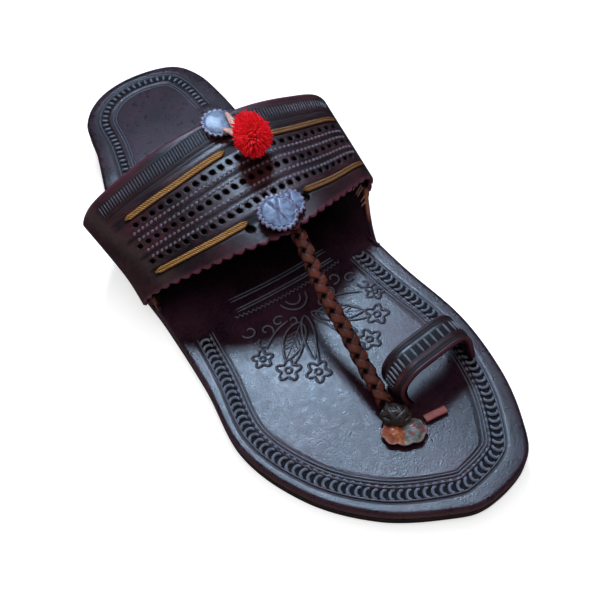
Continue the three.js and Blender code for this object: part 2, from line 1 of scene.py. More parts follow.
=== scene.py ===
"""A kolhapuri sandal for the right foot: tooled sole, punched strap, toe loop, plaited thong and wool pompom.

The packed solids are the frame. Each piece here is worked out in millimetres in the sandal's own frame
(+X to the little toe, +Y to the toes, +Z up) and put into its mesh in metres.
"""

import math

import bmesh
import bpy
import numpy as np
from mathutils import Matrix, Vector


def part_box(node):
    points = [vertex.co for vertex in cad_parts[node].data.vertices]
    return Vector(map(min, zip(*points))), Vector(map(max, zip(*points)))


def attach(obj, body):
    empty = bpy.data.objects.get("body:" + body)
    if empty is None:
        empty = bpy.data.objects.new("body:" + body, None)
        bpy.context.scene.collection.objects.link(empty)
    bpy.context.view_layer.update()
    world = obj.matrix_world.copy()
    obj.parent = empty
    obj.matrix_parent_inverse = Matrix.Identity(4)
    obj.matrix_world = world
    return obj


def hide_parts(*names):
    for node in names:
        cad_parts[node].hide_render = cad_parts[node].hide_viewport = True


bl_info = {
    "name": "Kolhapuri Sandal",
    "version": (1, 0, 0),
    "blender": (4, 5, 0),
    "location": "View3D > Sidebar > Sandal",
    "description": "Makes a right-foot kolhapuri sandal over its packed solids",
    "category": "Add Mesh",
}

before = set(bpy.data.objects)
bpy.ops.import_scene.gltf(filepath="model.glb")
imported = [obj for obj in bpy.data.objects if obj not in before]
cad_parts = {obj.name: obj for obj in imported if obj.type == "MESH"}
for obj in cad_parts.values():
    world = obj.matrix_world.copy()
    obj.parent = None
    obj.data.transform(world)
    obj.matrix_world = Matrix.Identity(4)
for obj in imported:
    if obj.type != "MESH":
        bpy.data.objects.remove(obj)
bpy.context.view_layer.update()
MM = 0.001

# Sizes, in millimetres
SOLE_LENGTH = 275.0
BALL_WIDTH = 107.0
OUTSOLE_THICKNESS = 4.2
INSOLE_THICKNESS = 3.5
HEEL_RISE = 10.0
TOE_SPRING = 3.0
CLEARANCE = 0.3
INSTEP_HEIGHT = 56.0
STRAP_THICKNESS = 2.2
LINING_THICKNESS = 0.26
STRAP_TUCK = 11.0
TUCK_RADIUS = 2.6
WALL_INSET = STRAP_THICKNESS / 2 + 0.2
EAR_THICKNESS = 2.0
HALF_LENGTH = SOLE_LENGTH / 2
HALF_BALL = BALL_WIDTH / 2

# The sole's outline by the angle round it from the heel's tip, as shares of half the ball's width.
OUTLINE_OUTER = [0.297, 0.546, 0.641, 0.8, 0.98, 0.96, 0.979, 1.037, 0.858, 0.533, 0.142]
OUTLINE_INNER = [0.45, 0.611, 0.649, 0.645, 0.7, 0.83, 0.875, 0.936, 0.867, 0.71, 0.512]
HEEL_TIP, TOE_TIP = -0.067, -0.129
HEEL_SEAT_END, TREAD_START, TREAD_END, HEEL_BREAST = 0.2, 0.55, 0.8, 0.28

# The strap's lines from its rear edge to its front edge, from the inner wall across to the outer wall.
# Columns: rear x, rear y, rear z, front x, front y, front z, as shares of half the ball's width,
# the sole's length and the instep's height.
STRAP_ROWS = np.array([
    [-0.935, -0.189, 0.429, -0.944, 0.006, 0.304],
    [-1.121, -0.165, 0.616, -1.0, 0.006, 0.482],
    [-1.037, -0.164, 0.75, -0.916, 0.018, 0.607],
    [-0.785, -0.164, 0.857, -0.692, 0.036, 0.688],
    [-0.411, -0.164, 0.955, -0.374, 0.058, 0.777],
    [0, -0.164, 0.982, -0.019, 0.069, 0.786],
    [0.411, -0.164, 0.938, 0.374, 0.053, 0.741],
    [0.785, -0.164, 0.83, 0.673, 0.031, 0.634],
    [1.037, -0.164, 0.714, 0.888, 0.006, 0.5],
    [1.121, -0.164, 0.598, 0.991, -0.016, 0.348],
    [0.991, -0.189, 0.393, 1.02, -0.028, 0.232],
])
FOOT_REAR, FOOT_FRONT = -0.207, {1: -0.038, -1: 0.004}
STRAP_DEPTH = SOLE_LENGTH * (FOOT_FRONT[-1] - FOOT_REAR)
OVER_STRAP = STRAP_THICKNESS / 2 + CLEARANCE

PATTERN_MIDDLE, PATTERN_SAG, SAG_REACH = -0.075 * HALF_BALL, 0.046, 0.6 * HALF_BALL
HOLE_PITCH, HOLE_DIAMETER = 4.1, 2.3
HOLE_ROWS = [(0.355, 25, -0.056), (0.527, 27, -0.05), (0.69, 26, -0.006)]  # along, count, middle
LACE_HOLES = [(0.86, 0.206), (0.85, -0.308)]  # along, across
LACE_HOLE_DIAMETER = 3.6
SCALLOP_PITCH, SCALLOP_DEPTH = 4.9, 0.034
LINES = (0.165, 0.19, 0.445, 0.623)  # grooves, along
LINE_DEPTHS, LINE_WIDTHS = (0.3, 0.2, 0.4, 0.4), (0.45, 0.35, 0.45, 0.45)
STITCH_LINES, STITCH_PITCH, BAR_PITCH = (0.412, 0.478, 0.59, 0.654), 2.1, 1.28
BANDS = {  # along, from, to
    "outer_rear": (0.272, 0.0, 0.9),
    "outer_front": (0.79, 0.187, 0.99),
    "inner_rear": (0.272, -1.047, -0.374),
    "inner_front": (0.79, -1.047, -0.318),
}

LOOP_AT, LOOP_SPAN, LOOP_HEIGHT, LOOP_DEPTH = (-0.393 * HALF_BALL, 0.6036 * HALF_LENGTH), 36.0, 20.0, 13.8
LOOP_THICKNESS, LOOP_LEAN, LOOP_SKEW = 2.8, -1.5, 3.5
LOOP_ROWS = [(-1.18, 0.02), (-1.1, 0.35), (-1, 0.7), (-0.74, 0.94), (0, 1), (0.72, 0.95), (0.98, 0.74),
             (0.97, 0.38), (0.82, 0.02)]
BRAID_PATH = np.array([[-0.127, 0.0873, 0.7036], [-0.116, 0.1382, 0.6929], [-0.041, 0.291, 0.5607],
                       [-0.017, 0.4218, 0.4286], [0.0075, 0.5382, 0.3107], [0.022, 0.6255, 0.225]])
BRAID_PATH = BRAID_PATH * [HALF_BALL, HALF_LENGTH, INSTEP_HEIGHT]
STRIP_SIZE, STRIP_RADIUS, STRIP_SWING, CORE_DIAMETER = (3.5, 1.15), 2.2, 0.5, 3.3
# Places on the insole: x, y and the turn from straight across. Coils of the knot: turn, tip, size, width.
KNOT_AT = (0.02 * HALF_BALL, 0.6725 * HALF_LENGTH, -38)
KNOT_SIZE = (12.6, 9.6, 7.6)
COILS = ((0, 12, 0.8, 2.6), (60, 56, 0.86, 2.6), (-58, 60, 0.84, 2.6), (8, 84, 0.82, 2.4),
         (110, 70, 0.84, 2.4))
LEAF_AT = (0.036 * HALF_BALL, 0.7185 * HALF_LENGTH, -30)
LEAF_SIZE = (17, 11.5)
TAB_AT = (-0.232 * HALF_BALL, 0.722 * HALF_LENGTH, -7)
TAB_SIZE = (9.0, 3.2)
# Places on the strap: across, along and diameter.
FRONT_ROSETTE = (-0.019 * HALF_BALL, 0.87, 16.0)
SMALL_ROSETTE = (-0.156 * HALF_BALL, 0.845, 12.0)
REAR_ROSETTE = (-0.084 * HALF_BALL, 0.078, 13.4)
ROSETTE_THICKNESS = 1.3
OVER_ROSETTE = OVER_STRAP + ROSETTE_THICKNESS + CLEARANCE
POMPOM_AT, PETALS_AT = (-0.178 * HALF_BALL, 0.365), (-0.165 * HALF_BALL, 0.25)
PETALS = ((-42, 10.5), (0, 11.5), (44, 7.5))  # turn from straight back, reach
POMPOM_DIAMETER = 16.0


# Number helpers
def mix(a, b, share):
    """A value that runs straight from a to b."""
    return a + (b - a) * share


def smooth(value):
    """0 below 0, 1 above 1, and the cubic 3v^2 - 2v^3 between."""
    v = np.clip(value, 0.0, 1.0)
    return v * v * (3 - 2 * v)


def window(value, low, high, soft):
    """1 between low and high, falling to 0 over a width of soft at each end."""
    return np.clip((value - low) / soft + 0.5, 0, 1) * np.clip((high - value) / soft + 0.5, 0, 1)


def groove(value, middle, width):
    """A round-bottomed groove: the bell curve exp(-((value - middle) / width)^2)."""
    return np.exp(-(((value - middle) / width) ** 2))


def closed_run(values, at):
    """Catmull-Rom through a closed run of numbers, read at places between them."""
    values = np.asarray(values)
    first = np.floor(at).astype(int)
    f = at - first
    a, b, c, d = (values[(first + k) % len(values)] for k in (-1, 0, 1, 2))
    return b + 0.5 * f * (c - a + f * (2 * a - 5 * b + 4 * c - d + f * (3 * (b - c) + d - a)))


def spline(points, t):
    """Centripetal Catmull-Rom through points (..., K, 3), read at the shares t, one for each leading row."""
    first = 2 * points[..., :1, :] - points[..., 1:2, :]
    last = 2 * points[..., -1:, :] - points[..., -2:-1, :]
    run = np.concatenate([first, points, last], axis=-2)
    place = np.clip(t, 0, 1) * (points.shape[-2] - 1)
    k = np.minimum(place.astype(int), points.shape[-2] - 2)
    f = (place - k)[..., None]
    a, b, c, d = (np.take_along_axis(run, (k + i)[..., None, None], axis=-2)[..., 0, :] for i in range(4))
    spans = ((a, b), (b, c), (c, d))
    g0, g1, g2 = (np.sqrt(np.linalg.norm(q - p, axis=-1, keepdims=True)) + 1e-9 for p, q in spans)
    s1 = ((b - a) / g0 - (c - a) / (g0 + g1) + (c - b) / g1) * g1
    s2 = ((c - b) / g1 - (d - b) / (g1 + g2) + (d - c) / g2) * g1
    return b + f * (s1 + f * (-3 * b + 3 * c - 2 * s1 - s2 + f * (2 * b - 2 * c + s1 + s2)))


def unit(v):
    """Vectors brought to length 1."""
    return v / np.maximum(np.linalg.norm(v, axis=-1, keepdims=True), 1e-12)


def run_length(path):
    """Length along a path from its start to each of its points."""
    return np.concatenate([[0], np.cumsum(np.linalg.norm(np.diff(path, axis=0), axis=1))])


def swell(count, least=0.05):
    """A rib's round ends: the square root of 1 - s^4 for s from -1 to 1, and never under least."""
    return np.sqrt(np.clip(1 - np.linspace(-1, 1, count) ** 4, least, 1))


# The sole's form
OUTLINE_RUN = np.array([HEEL_TIP, *OUTLINE_OUTER, TOE_TIP, *[-v for v in reversed(OUTLINE_INNER)]])
ROW_STEP = 360 / len(OUTLINE_RUN)


def rise(y):
    """Height of the outsole's underside: from the heel it falls by a cubic to the tread, and the toe springs
    up by a square."""
    share = (y + HALF_LENGTH) / SOLE_LENGTH
    toe = np.clip((share - TREAD_END) / (1 - TREAD_END), 0, 1) ** 2
    return HEEL_RISE * smooth((TREAD_START - share) / (TREAD_START - HEEL_SEAT_END)) + TOE_SPRING * toe


def outsole_top(y):
    """Height of the outsole's top face."""
    return rise(y) + OUTSOLE_THICKNESS


def insole_top(y):
    """Height of the insole's top face."""
    return outsole_top(y) + CLEARANCE + INSOLE_THICKNESS


def outline_point(angle):
    """The sole's edge: x from the closed run of half widths, y = -cos(angle) of half the length."""
    x = HALF_BALL * closed_run(OUTLINE_RUN, angle / ROW_STEP)
    return np.stack([x, -HALF_LENGTH * np.cos(np.radians(angle))], axis=-1)


def edge_x(side, y):
    """The sole's edge at a place along it, on the outer side (1) or the inner side (-1)."""
    angle = np.degrees(np.arccos(np.clip(-y / HALF_LENGTH, -1, 1)))
    return outline_point(np.where(side > 0, angle, 360 - angle))[..., 0]


def inward(angle):
    """The direction square to the outline, into the sole."""
    along = unit(outline_point(angle + 1) - outline_point(angle - 1))
    return np.stack([-along[..., 1], along[..., 0]], axis=-1)


def stations_round(stations, steps):
    """Angles round the outline from the heel's tip, with as many stations on each side, spaced evenly by the
    length of both sides together, which is summed over so many steps."""
    fine = np.linspace(0, 180, steps)
    length = sum(run_length(outline_point(a)) for a in (fine, 360 - fine))
    half = np.interp(np.linspace(0, 1, stations + 1) * length[-1], length, fine)
    return np.concatenate([half, 360 - half[-2:0:-1]])


def middle_line(angle):
    """The plan point on the sole's middle line that each angle's column ends at, clear of heel and toe."""
    y = -np.cos(np.radians(angle)) * (HALF_LENGTH - 27)
    return np.stack([(edge_x(1, y) + edge_x(-1, y)) / 2, y], -1)


def on_insole(plan):
    """Plan points (n, 2) with the height of the insole's top."""
    return np.concatenate([plan, insole_top(plan[:, 1])[:, None]], -1)


_fine = outline_point(np.arange(0, 360, 0.5))
SHIFT = np.array([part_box("outsole")[0][0] / MM - _fine[:, 0].min(), 0.0, 0.0])


# The strap's form
def foot_rows(side, along):
    """A foot of the strap: its tip between the soles, then a quarter bend of TUCK_RADIUS up to the wall."""
    y = SOLE_LENGTH * mix(FOOT_REAR, FOOT_FRONT[side], along)
    edge = np.abs(edge_x(side, y))
    z = outsole_top(y) - STRAP_THICKNESS / 2
    bend = edge - WALL_INSET - TUCK_RADIUS
    rows = [np.stack([side * (edge - STRAP_TUCK), y, z], -1)]
    for turn in (0, 45, 90):
        a = math.radians(turn)
        x = side * (bend + TUCK_RADIUS * math.sin(a))
        rows.append(np.stack([x, y, z + TUCK_RADIUS * (1 - math.cos(a))], -1))
    return rows


def strap_controls(along):
    """The control points of the strap's cross lines, straight between the rear and front rows."""
    scale = np.array([HALF_BALL, SOLE_LENGTH, INSTEP_HEIGHT])
    a = along[..., None, None]
    middle = mix(STRAP_ROWS[:, :3] * scale, STRAP_ROWS[:, 3:] * scale, a)
    feet = [np.stack(foot_rows(side, along), -2) for side in (-1, 1)]
    return np.concatenate([feet[0], middle, feet[1][..., ::-1, :]], axis=-2)


_measure = np.linspace(0, 1, 401)
_line = spline(np.repeat(strap_controls(np.array([0.5])), 401, axis=0), _measure)
_runs = run_length(_line)
STRAP_MIDDLE = np.interp(0.5, _measure, _runs)
STRAP_START, STRAP_END = 0.2 - STRAP_MIDDLE, _runs[-1] - STRAP_MIDDLE - 0.2  # just inside the two feet's tips


def strap_share(distance):
    """Distance across the strap from its middle line, turned into the share of its cross line."""
    return np.interp(distance + STRAP_MIDDLE, _runs, _measure)


def strap_point(distance, along, lift=0.0):
    """On the strap: distance across from its middle line, along 0 at the rear edge and 1 at the front,
    and lift outwards from the middle of the leather, square to the surface."""
    distance, along, lift = np.broadcast_arrays(np.asarray(distance, float), np.asarray(along, float), lift)
    t = strap_share(distance)
    step = 2e-3
    here = strap_controls(along)
    across = spline(here, t + step) - spline(here, t - step)
    forward = spline(strap_controls(along + step), t) - spline(strap_controls(along - step), t)
    return spline(here, t) + unit(np.cross(across, forward)) * lift[..., None]


def sagged(along, distance):
    """Where a line of the pattern runs at a distance across the strap."""
    return along + PATTERN_SAG * smooth(np.abs(distance - PATTERN_MIDDLE) / SAG_REACH)


# Mesh helpers
def grid_quads(rows, columns, wrap_rows=False, wrap_columns=False):
    """Quads of a grid of rows by columns points, kept row by row; a wrapped way is closed round."""
    i_run, j_run = np.arange(rows - (not wrap_rows)), np.arange(columns - (not wrap_columns))
    i, j = np.meshgrid(i_run, j_run, indexing="ij")
    i2, j2 = (i + 1) % rows, (j + 1) % columns
    corners = [i * columns + j, i * columns + j2, i2 * columns + j2, i2 * columns + j]
    return np.stack(corners, -1).reshape(-1, 4)


def make_piece(name, points, faces, finish, slot, nodes, sharp=50.0, merge=0.0, **values):
    """Puts points (mm) and faces, a list of index arrays, into a mesh that rides on the sandal.

    values hold one number for each point, or one for all, and are kept as attributes. Points closer than
    merge (mm) become one.
    """
    mesh = bpy.data.meshes.new(name)
    faces = [np.asarray(f) for f in (faces if isinstance(faces, list) else [faces])]
    co = (np.asarray(points).reshape(-1, 3) + SHIFT) * MM
    corners = np.concatenate([f.ravel() for f in faces]).astype(np.int32)
    sizes = np.concatenate([np.full(len(f), f.shape[1]) for f in faces])
    mesh.vertices.add(len(co))
    mesh.vertices.foreach_set("co", co.ravel())
    mesh.loops.add(len(corners))
    mesh.loops.foreach_set("vertex_index", corners)
    mesh.polygons.add(len(sizes))
    mesh.polygons.foreach_set("loop_start", np.concatenate([[0], np.cumsum(sizes)[:-1]]).astype(np.int32))
    mesh.update(calc_edges=True)
    for key, value in values.items():
        store = mesh.attributes.new(key, "FLOAT", "POINT")
        store.data.foreach_set("value", np.broadcast_to(np.asarray(value, float).ravel(), len(co)).copy())
    mesh.validate()
    mesh.polygons.foreach_set("use_smooth", np.ones(len(mesh.polygons), bool))
    if merge:
        bm = bmesh.new()
        bm.from_mesh(mesh)
        bmesh.ops.remove_doubles(bm, verts=bm.verts, dist=merge * MM)
        bm.to_mesh(mesh)
        bm.free()
    mesh.set_sharp_from_angle(angle=math.radians(sharp))
    mesh.materials.append(finish_of(finish))
    piece = bpy.data.objects.new(name, mesh)
    bpy.context.scene.collection.objects.link(piece)
    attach(piece, "root")
    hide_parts(*nodes)
    return piece


def thicken(piece, thickness):
    """Gives a sheet its wall, inwards from its face."""
    wall = piece.modifiers.new("wall", "SOLIDIFY")
    wall.thickness = thickness * MM
    wall.offset = -1
    wall.use_even_offset = False


def round_edges(piece, width):
    """Rounds a piece's sharp edges."""
    bevel = piece.modifiers.new("rounding", "BEVEL")
    bevel.width = width * MM
    bevel.segments = 2
    bevel.limit_method = "ANGLE"
    bevel.angle_limit = math.radians(40)
    bevel.harden_normals = False


def tube(path, profile, side, closed_path=False):
    """A profile (n, 2) carried along a path (m, 3): its x runs along side, its y along tangent x side."""
    if closed_path:
        tangent = unit(np.roll(path, -1, 0) - np.roll(path, 1, 0))
    else:
        tangent = unit(np.gradient(path, axis=0))
    side = unit(side - (side * tangent).sum(-1, keepdims=True) * tangent)
    up = np.cross(tangent, side)
    if profile.ndim == 2:
        profile = np.broadcast_to(profile, (len(path), *profile.shape))
    points = path[:, None] + profile[..., :1] * side[:, None] + profile[..., 1:] * up[:, None]
    quads = grid_quads(len(path), profile.shape[1], closed_path, True)
    if closed_path:
        return points.reshape(-1, 3), [quads]
    n, last = profile.shape[1], (len(path) - 1) * profile.shape[1]
    caps = [np.arange(n)[None, ::-1], last + np.arange(n)[None]]
    return points.reshape(-1, 3), [quads, *caps]


def joined(parts):
    """Several (points, faces) made one, each with its faces' numbers moved on."""
    points, faces, start = [], [], 0
    for p, f in parts:
        points.append(p)
        faces += [g + start for g in f]
        start += len(p)
    return np.concatenate(points), faces


def rounded_profile(width, height, power=3.0, count=14):
    """A rounded rectangle: |x/a|^power + |y/b|^power = 1, anticlockwise."""
    a = np.linspace(0, 2 * np.pi, count, endpoint=False)
    c, s = np.cos(a), np.sin(a)
    x = width / 2 * np.sign(c) * np.abs(c) ** (2 / power)
    y = height / 2 * np.sign(s) * np.abs(s) ** (2 / power)
    return np.stack([x, y], -1)


# Material helpers
class Nodes:
    """Short words for a material's nodes and links."""

    def __init__(self, name):
        self.material = bpy.data.materials.new(name)
        self.material.use_nodes = True
        self.tree = self.material.node_tree
        self.shader = self.tree.nodes["Principled BSDF"]

    def node(self, kind, **values):
        made = self.tree.nodes.new(kind)
        for key, value in values.items():
            if hasattr(made, key):
                setattr(made, key, value)
            else:
                made.inputs[key.replace("_", " ")].default_value = value
        return made

    def link(self, source, target):
        self.tree.links.new(source, target)

    def object_place(self):
        return self.node("ShaderNodeTexCoord").outputs["Object"]

    def value(self, name):
        return self.node("ShaderNodeAttribute", attribute_name=name).outputs["Fac"]

    def noise(self, size, detail=3.0, roughness=0.55, place=None):
        made = self.node("ShaderNodeTexNoise", Scale=1000.0 / size, Detail=detail, Roughness=roughness)
        self.link(place or self.object_place(), made.inputs["Vector"])
        return made.outputs["Fac"]

    def math(self, operation, a, b=None, clamp=False):
        made = self.node("ShaderNodeMath", operation=operation, use_clamp=clamp)
        for socket, v in zip(made.inputs, (a, b)):
            if v is None:
                continue
            if isinstance(v, (int, float)):
                socket.default_value = v
            else:
                self.link(v, socket)
        return made.outputs[0]

    def ramp(self, value, stops):
        made = self.node("ShaderNodeValToRGB")
        ramp = made.color_ramp
        while len(ramp.elements) < len(stops):
            ramp.elements.new(0.5)
        for element, (place, colour) in zip(ramp.elements, stops):
            element.position = place
            element.color = (*colour, 1.0) if len(colour) == 3 else colour
        self.link(value, made.inputs["Fac"])
        return made.outputs["Color"]

    def blend(self, share, first, second, kind="MIX"):
        made = self.node("ShaderNodeMix", data_type="RGBA", blend_type=kind)
        for socket, v in ((made.inputs[0], share), (made.inputs[6], first), (made.inputs[7], second)):
            if isinstance(v, (int, float)):
                socket.default_value = v
            elif isinstance(v, tuple):
                socket.default_value = (*v, 1.0)
            else:
                self.link(v, socket)
        return made.outputs[2]

    def bump(self, height, strength, distance, before=None):
        made = self.node("ShaderNodeBump", Strength=strength, Distance=distance * MM)
        self.link(height, made.inputs["Height"])
        if before is not None:
            self.link(before, made.inputs["Normal"])
        return made.outputs["Normal"]

    def finish(self, colour, normal=None, rough=None, **sockets):
        self.link(colour, self.shader.inputs["Base Color"])
        if rough is not None:
            self.link(rough, self.shader.inputs["Roughness"])
        if normal is not None:
            self.link(normal, self.shader.inputs["Normal"])
        for key, value in sockets.items():
            self.shader.inputs[key.replace("_", " ")].default_value = value
        return self.material


PAINTED_SHEEN_COLOUR = (0.25, 0.28, 0.36)  # painted highlight: raised points painted blue-grey as if they catch the light
# painted shade: the black put into grooves, pits, holes and gaps
SHADE_BLACK = (0.0015, 0.001, 0.0015)


def leather(name, dark, light, edge, roughness=0.36, grain=1.0, pebble=1.0, coat=0.25, shine=0.5):
    """Polished leather: cloudy dye between dark and light, the edge colour at worn edges (a painted highlight
    on some pieces), a painted blue-grey highlight on raised points, painted black shade, made dull, in
    grooves, pits and gaps, and a pebbled grain in its bump."""
    dark, light, edge = tuple(dark), tuple(light), tuple(edge)
    n = Nodes(name)
    cloud = n.noise(24, 4.0)
    speck = n.noise(1.3, 3.0)
    dye = n.ramp(n.math("ADD", n.math("MULTIPLY", cloud, 0.65), n.math("MULTIPLY", speck, 0.35)),
                 [(0.38, dark), (0.62, light)])
    patches = n.math("ADD", n.math("MULTIPLY", n.noise(4, 3.0), 1.3), 0.3)
    # edge colour: worn edges, and on the strap's stitch loops a painted highlight
    wear = n.math("MULTIPLY", n.value("wear"), patches, clamp=True)
    colour = n.blend(wear, dye, edge)
    # painted highlight: raised points turned pale blue-grey, as if catching the light
    rub = n.math("MULTIPLY", n.value("rub"), n.math("ADD", speck, 0.35), clamp=True)
    colour = n.blend(rub, colour, PAINTED_SHEEN_COLOUR)
    pit = n.value("pit")
    # painted shade: black in the grooves, pits, holes and gaps
    colour = n.blend(n.math("MULTIPLY", pit, 0.95, clamp=True), colour, SHADE_BLACK)
    normal = n.bump(n.noise(0.75 * pebble, 3.0), 0.62 * grain, 0.13)
    normal = n.bump(n.noise(0.35 * pebble, 2.0), 0.36 * grain, 0.08, normal)
    normal = n.bump(n.noise(9, 2.0), 0.15, 0.5, normal)
    rough = n.math("ADD", n.math("MULTIPLY", n.noise(3, 4.0), 0.24), roughness - 0.12)
    rough = n.math("ADD", rough, n.math("MULTIPLY", pit, 0.5), clamp=True)
    return n.finish(colour, normal, rough, Coat_Weight=coat, Coat_Roughness=0.25, Specular_IOR_Level=shine)


MATERIALS = {}


def finish_of(name):
    """The finish of that name, made once."""
    if name not in MATERIALS:
        MATERIALS[name] = FINISHES[name]()
    return MATERIALS[name]


def insole_leather():
    """The insole's leather, waxed and rubbed smooth."""
    s = bpy.context.scene.sandal_sole
    return leather("insole leather", s.insole_dark, s.insole_light, s.edge_colour, roughness=0.3, coat=0.0)


def ear_leather():
    """The insole's leather turned up, raw and tan on its cut edge."""
    s = bpy.context.scene.sandal_sole
    return leather("ear leather", s.insole_dark, s.insole_light, (0.3, 0.1, 0.045), roughness=0.4, coat=0.0)


def strap_leather():
    """The strap's leather, of a finer grain and purple at its cut edges."""
    s = bpy.context.scene.sandal_strap
    return leather("strap leather", s.dark, s.light, s.edge, grain=0.8, pebble=0.8, coat=0.03, shine=0.56)


def lining_painted_shade():
    """Lining painted nearly black, the shade seen through the strap's holes, with a dull nap."""
    n = Nodes("lining painted shade")
    colour = n.ramp(n.noise(2.0, 4.0), [(0.3, (0.002, 0.0013, 0.0012)), (0.7, (0.008, 0.005, 0.0045))])
    return n.finish(colour, n.bump(n.noise(0.4, 3.0), 0.4, 0.1), None, Roughness=0.9)


def sole_edge_leather():
    """Burnished sole leather: fine layers across its height and a dull polish."""
    s = bpy.context.scene.sandal_sole
    n = Nodes("sole leather")
    place = n.node("ShaderNodeMapping")
    n.link(n.object_place(), place.inputs["Vector"])
    place.inputs["Scale"].default_value = (0.15, 0.15, 1.0)
    layers = n.noise(0.9, 3.0, place=place.outputs["Vector"])
    colour = n.ramp(layers, [(0.3, tuple(s.sole_dark)), (0.7, tuple(s.sole_light))])
    wear = n.math("MULTIPLY", n.value("wear"), n.noise(6, 3.0), clamp=True)
    colour = n.blend(wear, colour, tuple(s.edge_colour))
    normal = n.bump(layers, 0.35, 0.2)
    normal = n.bump(n.noise(1.0, 3.0), 0.2, 0.1, normal)
    rough = n.math("ADD", n.math("MULTIPLY", n.noise(5, 3.0), 0.25), 0.38)
    return n.finish(colour, normal, rough, Coat_Weight=0.1, Coat_Roughness=0.3)


def red_leather():
    """The thong's thin red-brown strips."""
    s = bpy.context.scene.sandal_trim
    return leather("red leather", s.braid_dark, s.braid_light, (0.5, 0.16, 0.08), grain=0.5, pebble=0.5,
                   coat=0.12)


def knot_leather():
    """Knot: grey-brown strips of a cloudy dye."""
    return leather("knot leather", (0.016, 0.011, 0.01), (0.1, 0.07, 0.06), (0.3, 0.2, 0.18), roughness=0.4,
                   pebble=0.6, coat=0.1)


def tab_leather():
    """Tab: dull brick red, paler where it is worn."""
    return leather("tab leather", (0.14, 0.018, 0.018), (0.34, 0.06, 0.05), (0.5, 0.2, 0.17), roughness=0.45,
                   grain=0.5, pebble=0.6, coat=0.05)


def leaf_leather():
    """Leaf of the toe: orange-red on its outer lobe, grey-green on its inner one, with a pale cut rim."""
    n = Nodes("leaf leather")
    lobe = n.value("lobe")
    mottle = n.noise(1.4, 3.0)
    warm = n.ramp(mottle, [(0.35, (0.2, 0.03, 0.02)), (0.65, (0.45, 0.15, 0.05))])
    cool = n.ramp(mottle, [(0.35, (0.07, 0.075, 0.07)), (0.65, (0.2, 0.24, 0.22))])
    colour = n.blend(lobe, warm, cool)
    patch = n.ramp(n.noise(3.2, 2.0), [(0.48, (0.0, 0.0, 0.0)), (0.64, (0.8, 0.8, 0.8))])
    colour = n.blend(patch, colour, (0.2, 0.02, 0.025))
    colour = n.blend(n.math("MULTIPLY", n.value("wear"), mottle, clamp=True), colour, (0.5, 0.36, 0.34))
    normal = n.bump(n.noise(0.8, 3.0), 0.3, 0.2)
    return n.finish(colour, normal, None, Roughness=0.35, Coat_Weight=0.2)


def rosette_leather():
    """Blue-grey leather, with painted shade in its creases and reddish at the cut teeth."""
    s = bpy.context.scene.sandal_trim
    n = Nodes("rosette leather")
    mottle = n.noise(2.2, 4.0)
    colour = n.ramp(mottle, [(0.34, tuple(s.rosette_dark)), (0.64, tuple(s.rosette_light))])
    # reddish at the teeth, and painted shade in the creases
    wear = n.math("MULTIPLY", n.value("wear"), n.math("ADD", mottle, 0.25), clamp=True)
    colour = n.blend(wear, colour, (0.16, 0.045, 0.07))
    normal = n.bump(n.noise(0.7, 3.0), 0.35, 0.15)
    return n.finish(colour, normal, None, Roughness=0.42, Coat_Weight=0.15)


def petal_leather():
    """Petals: undyed pale skin, reddened at their roots."""
    n = Nodes("petal leather")
    mottle = n.noise(1.8, 3.0)
    colour = n.ramp(mottle, [(0.3, (0.62, 0.3, 0.26)), (0.7, (0.9, 0.62, 0.52))])
    colour = n.blend(n.value("wear"), colour, (0.55, 0.1, 0.13))
    normal = n.bump(n.noise(0.5, 2.0), 0.25, 0.1)
    return n.finish(colour, normal, None, Roughness=0.6)


def wool():
    """Wool: saturated red, with painted shade at the locks' roots deep in the ball, and a soft sheen."""
    s = bpy.context.scene.sandal_trim
    n = Nodes("wool")
    tone = n.ramp(n.noise(1.1, 3.0), [(0.3, tuple(0.85 * c for c in s.pompom)), (0.65, tuple(s.pompom))])
    # painted shade: darker towards the locks' roots
    colour = n.blend(n.value("wear"), tone, tuple(0.6 * c for c in s.pompom))
    normal = n.bump(n.noise(0.25, 2.0), 0.3, 0.1)
    return n.finish(colour, normal, None, Roughness=0.85, Sheen_Weight=0.08, Specular_IOR_Level=0.2)


def gold_thread():
    """Woven metallic thread: gold on the raised threads, brown between them and along both edges."""
    s = bpy.context.scene.sandal_strap
    n = Nodes("gold thread")
    thread = n.ramp(n.noise(0.5, 2.0), [(0.3, tuple(0.6 * c for c in s.gold)), (0.7, tuple(s.gold))])
    colour = n.blend(n.value("wear"), thread, (0.09, 0.03, 0.012))
    normal = n.bump(n.noise(0.3, 2.0), 0.3, 0.1)
    return n.finish(colour, normal, None, Roughness=0.42, Metallic=0.35)


FINISHES = {
    "insole": insole_leather,
    "ear": ear_leather,
    "sole": sole_edge_leather,
    "strap": strap_leather,
    "lining": lining_painted_shade,
    "gold": gold_thread,
    "red": red_leather,
    "knot": knot_leather,
    "leaf": leaf_leather,
    "tab": tab_leather,
    "rosette": rosette_leather,
    "petal": petal_leather,
    "wool": wool,
}


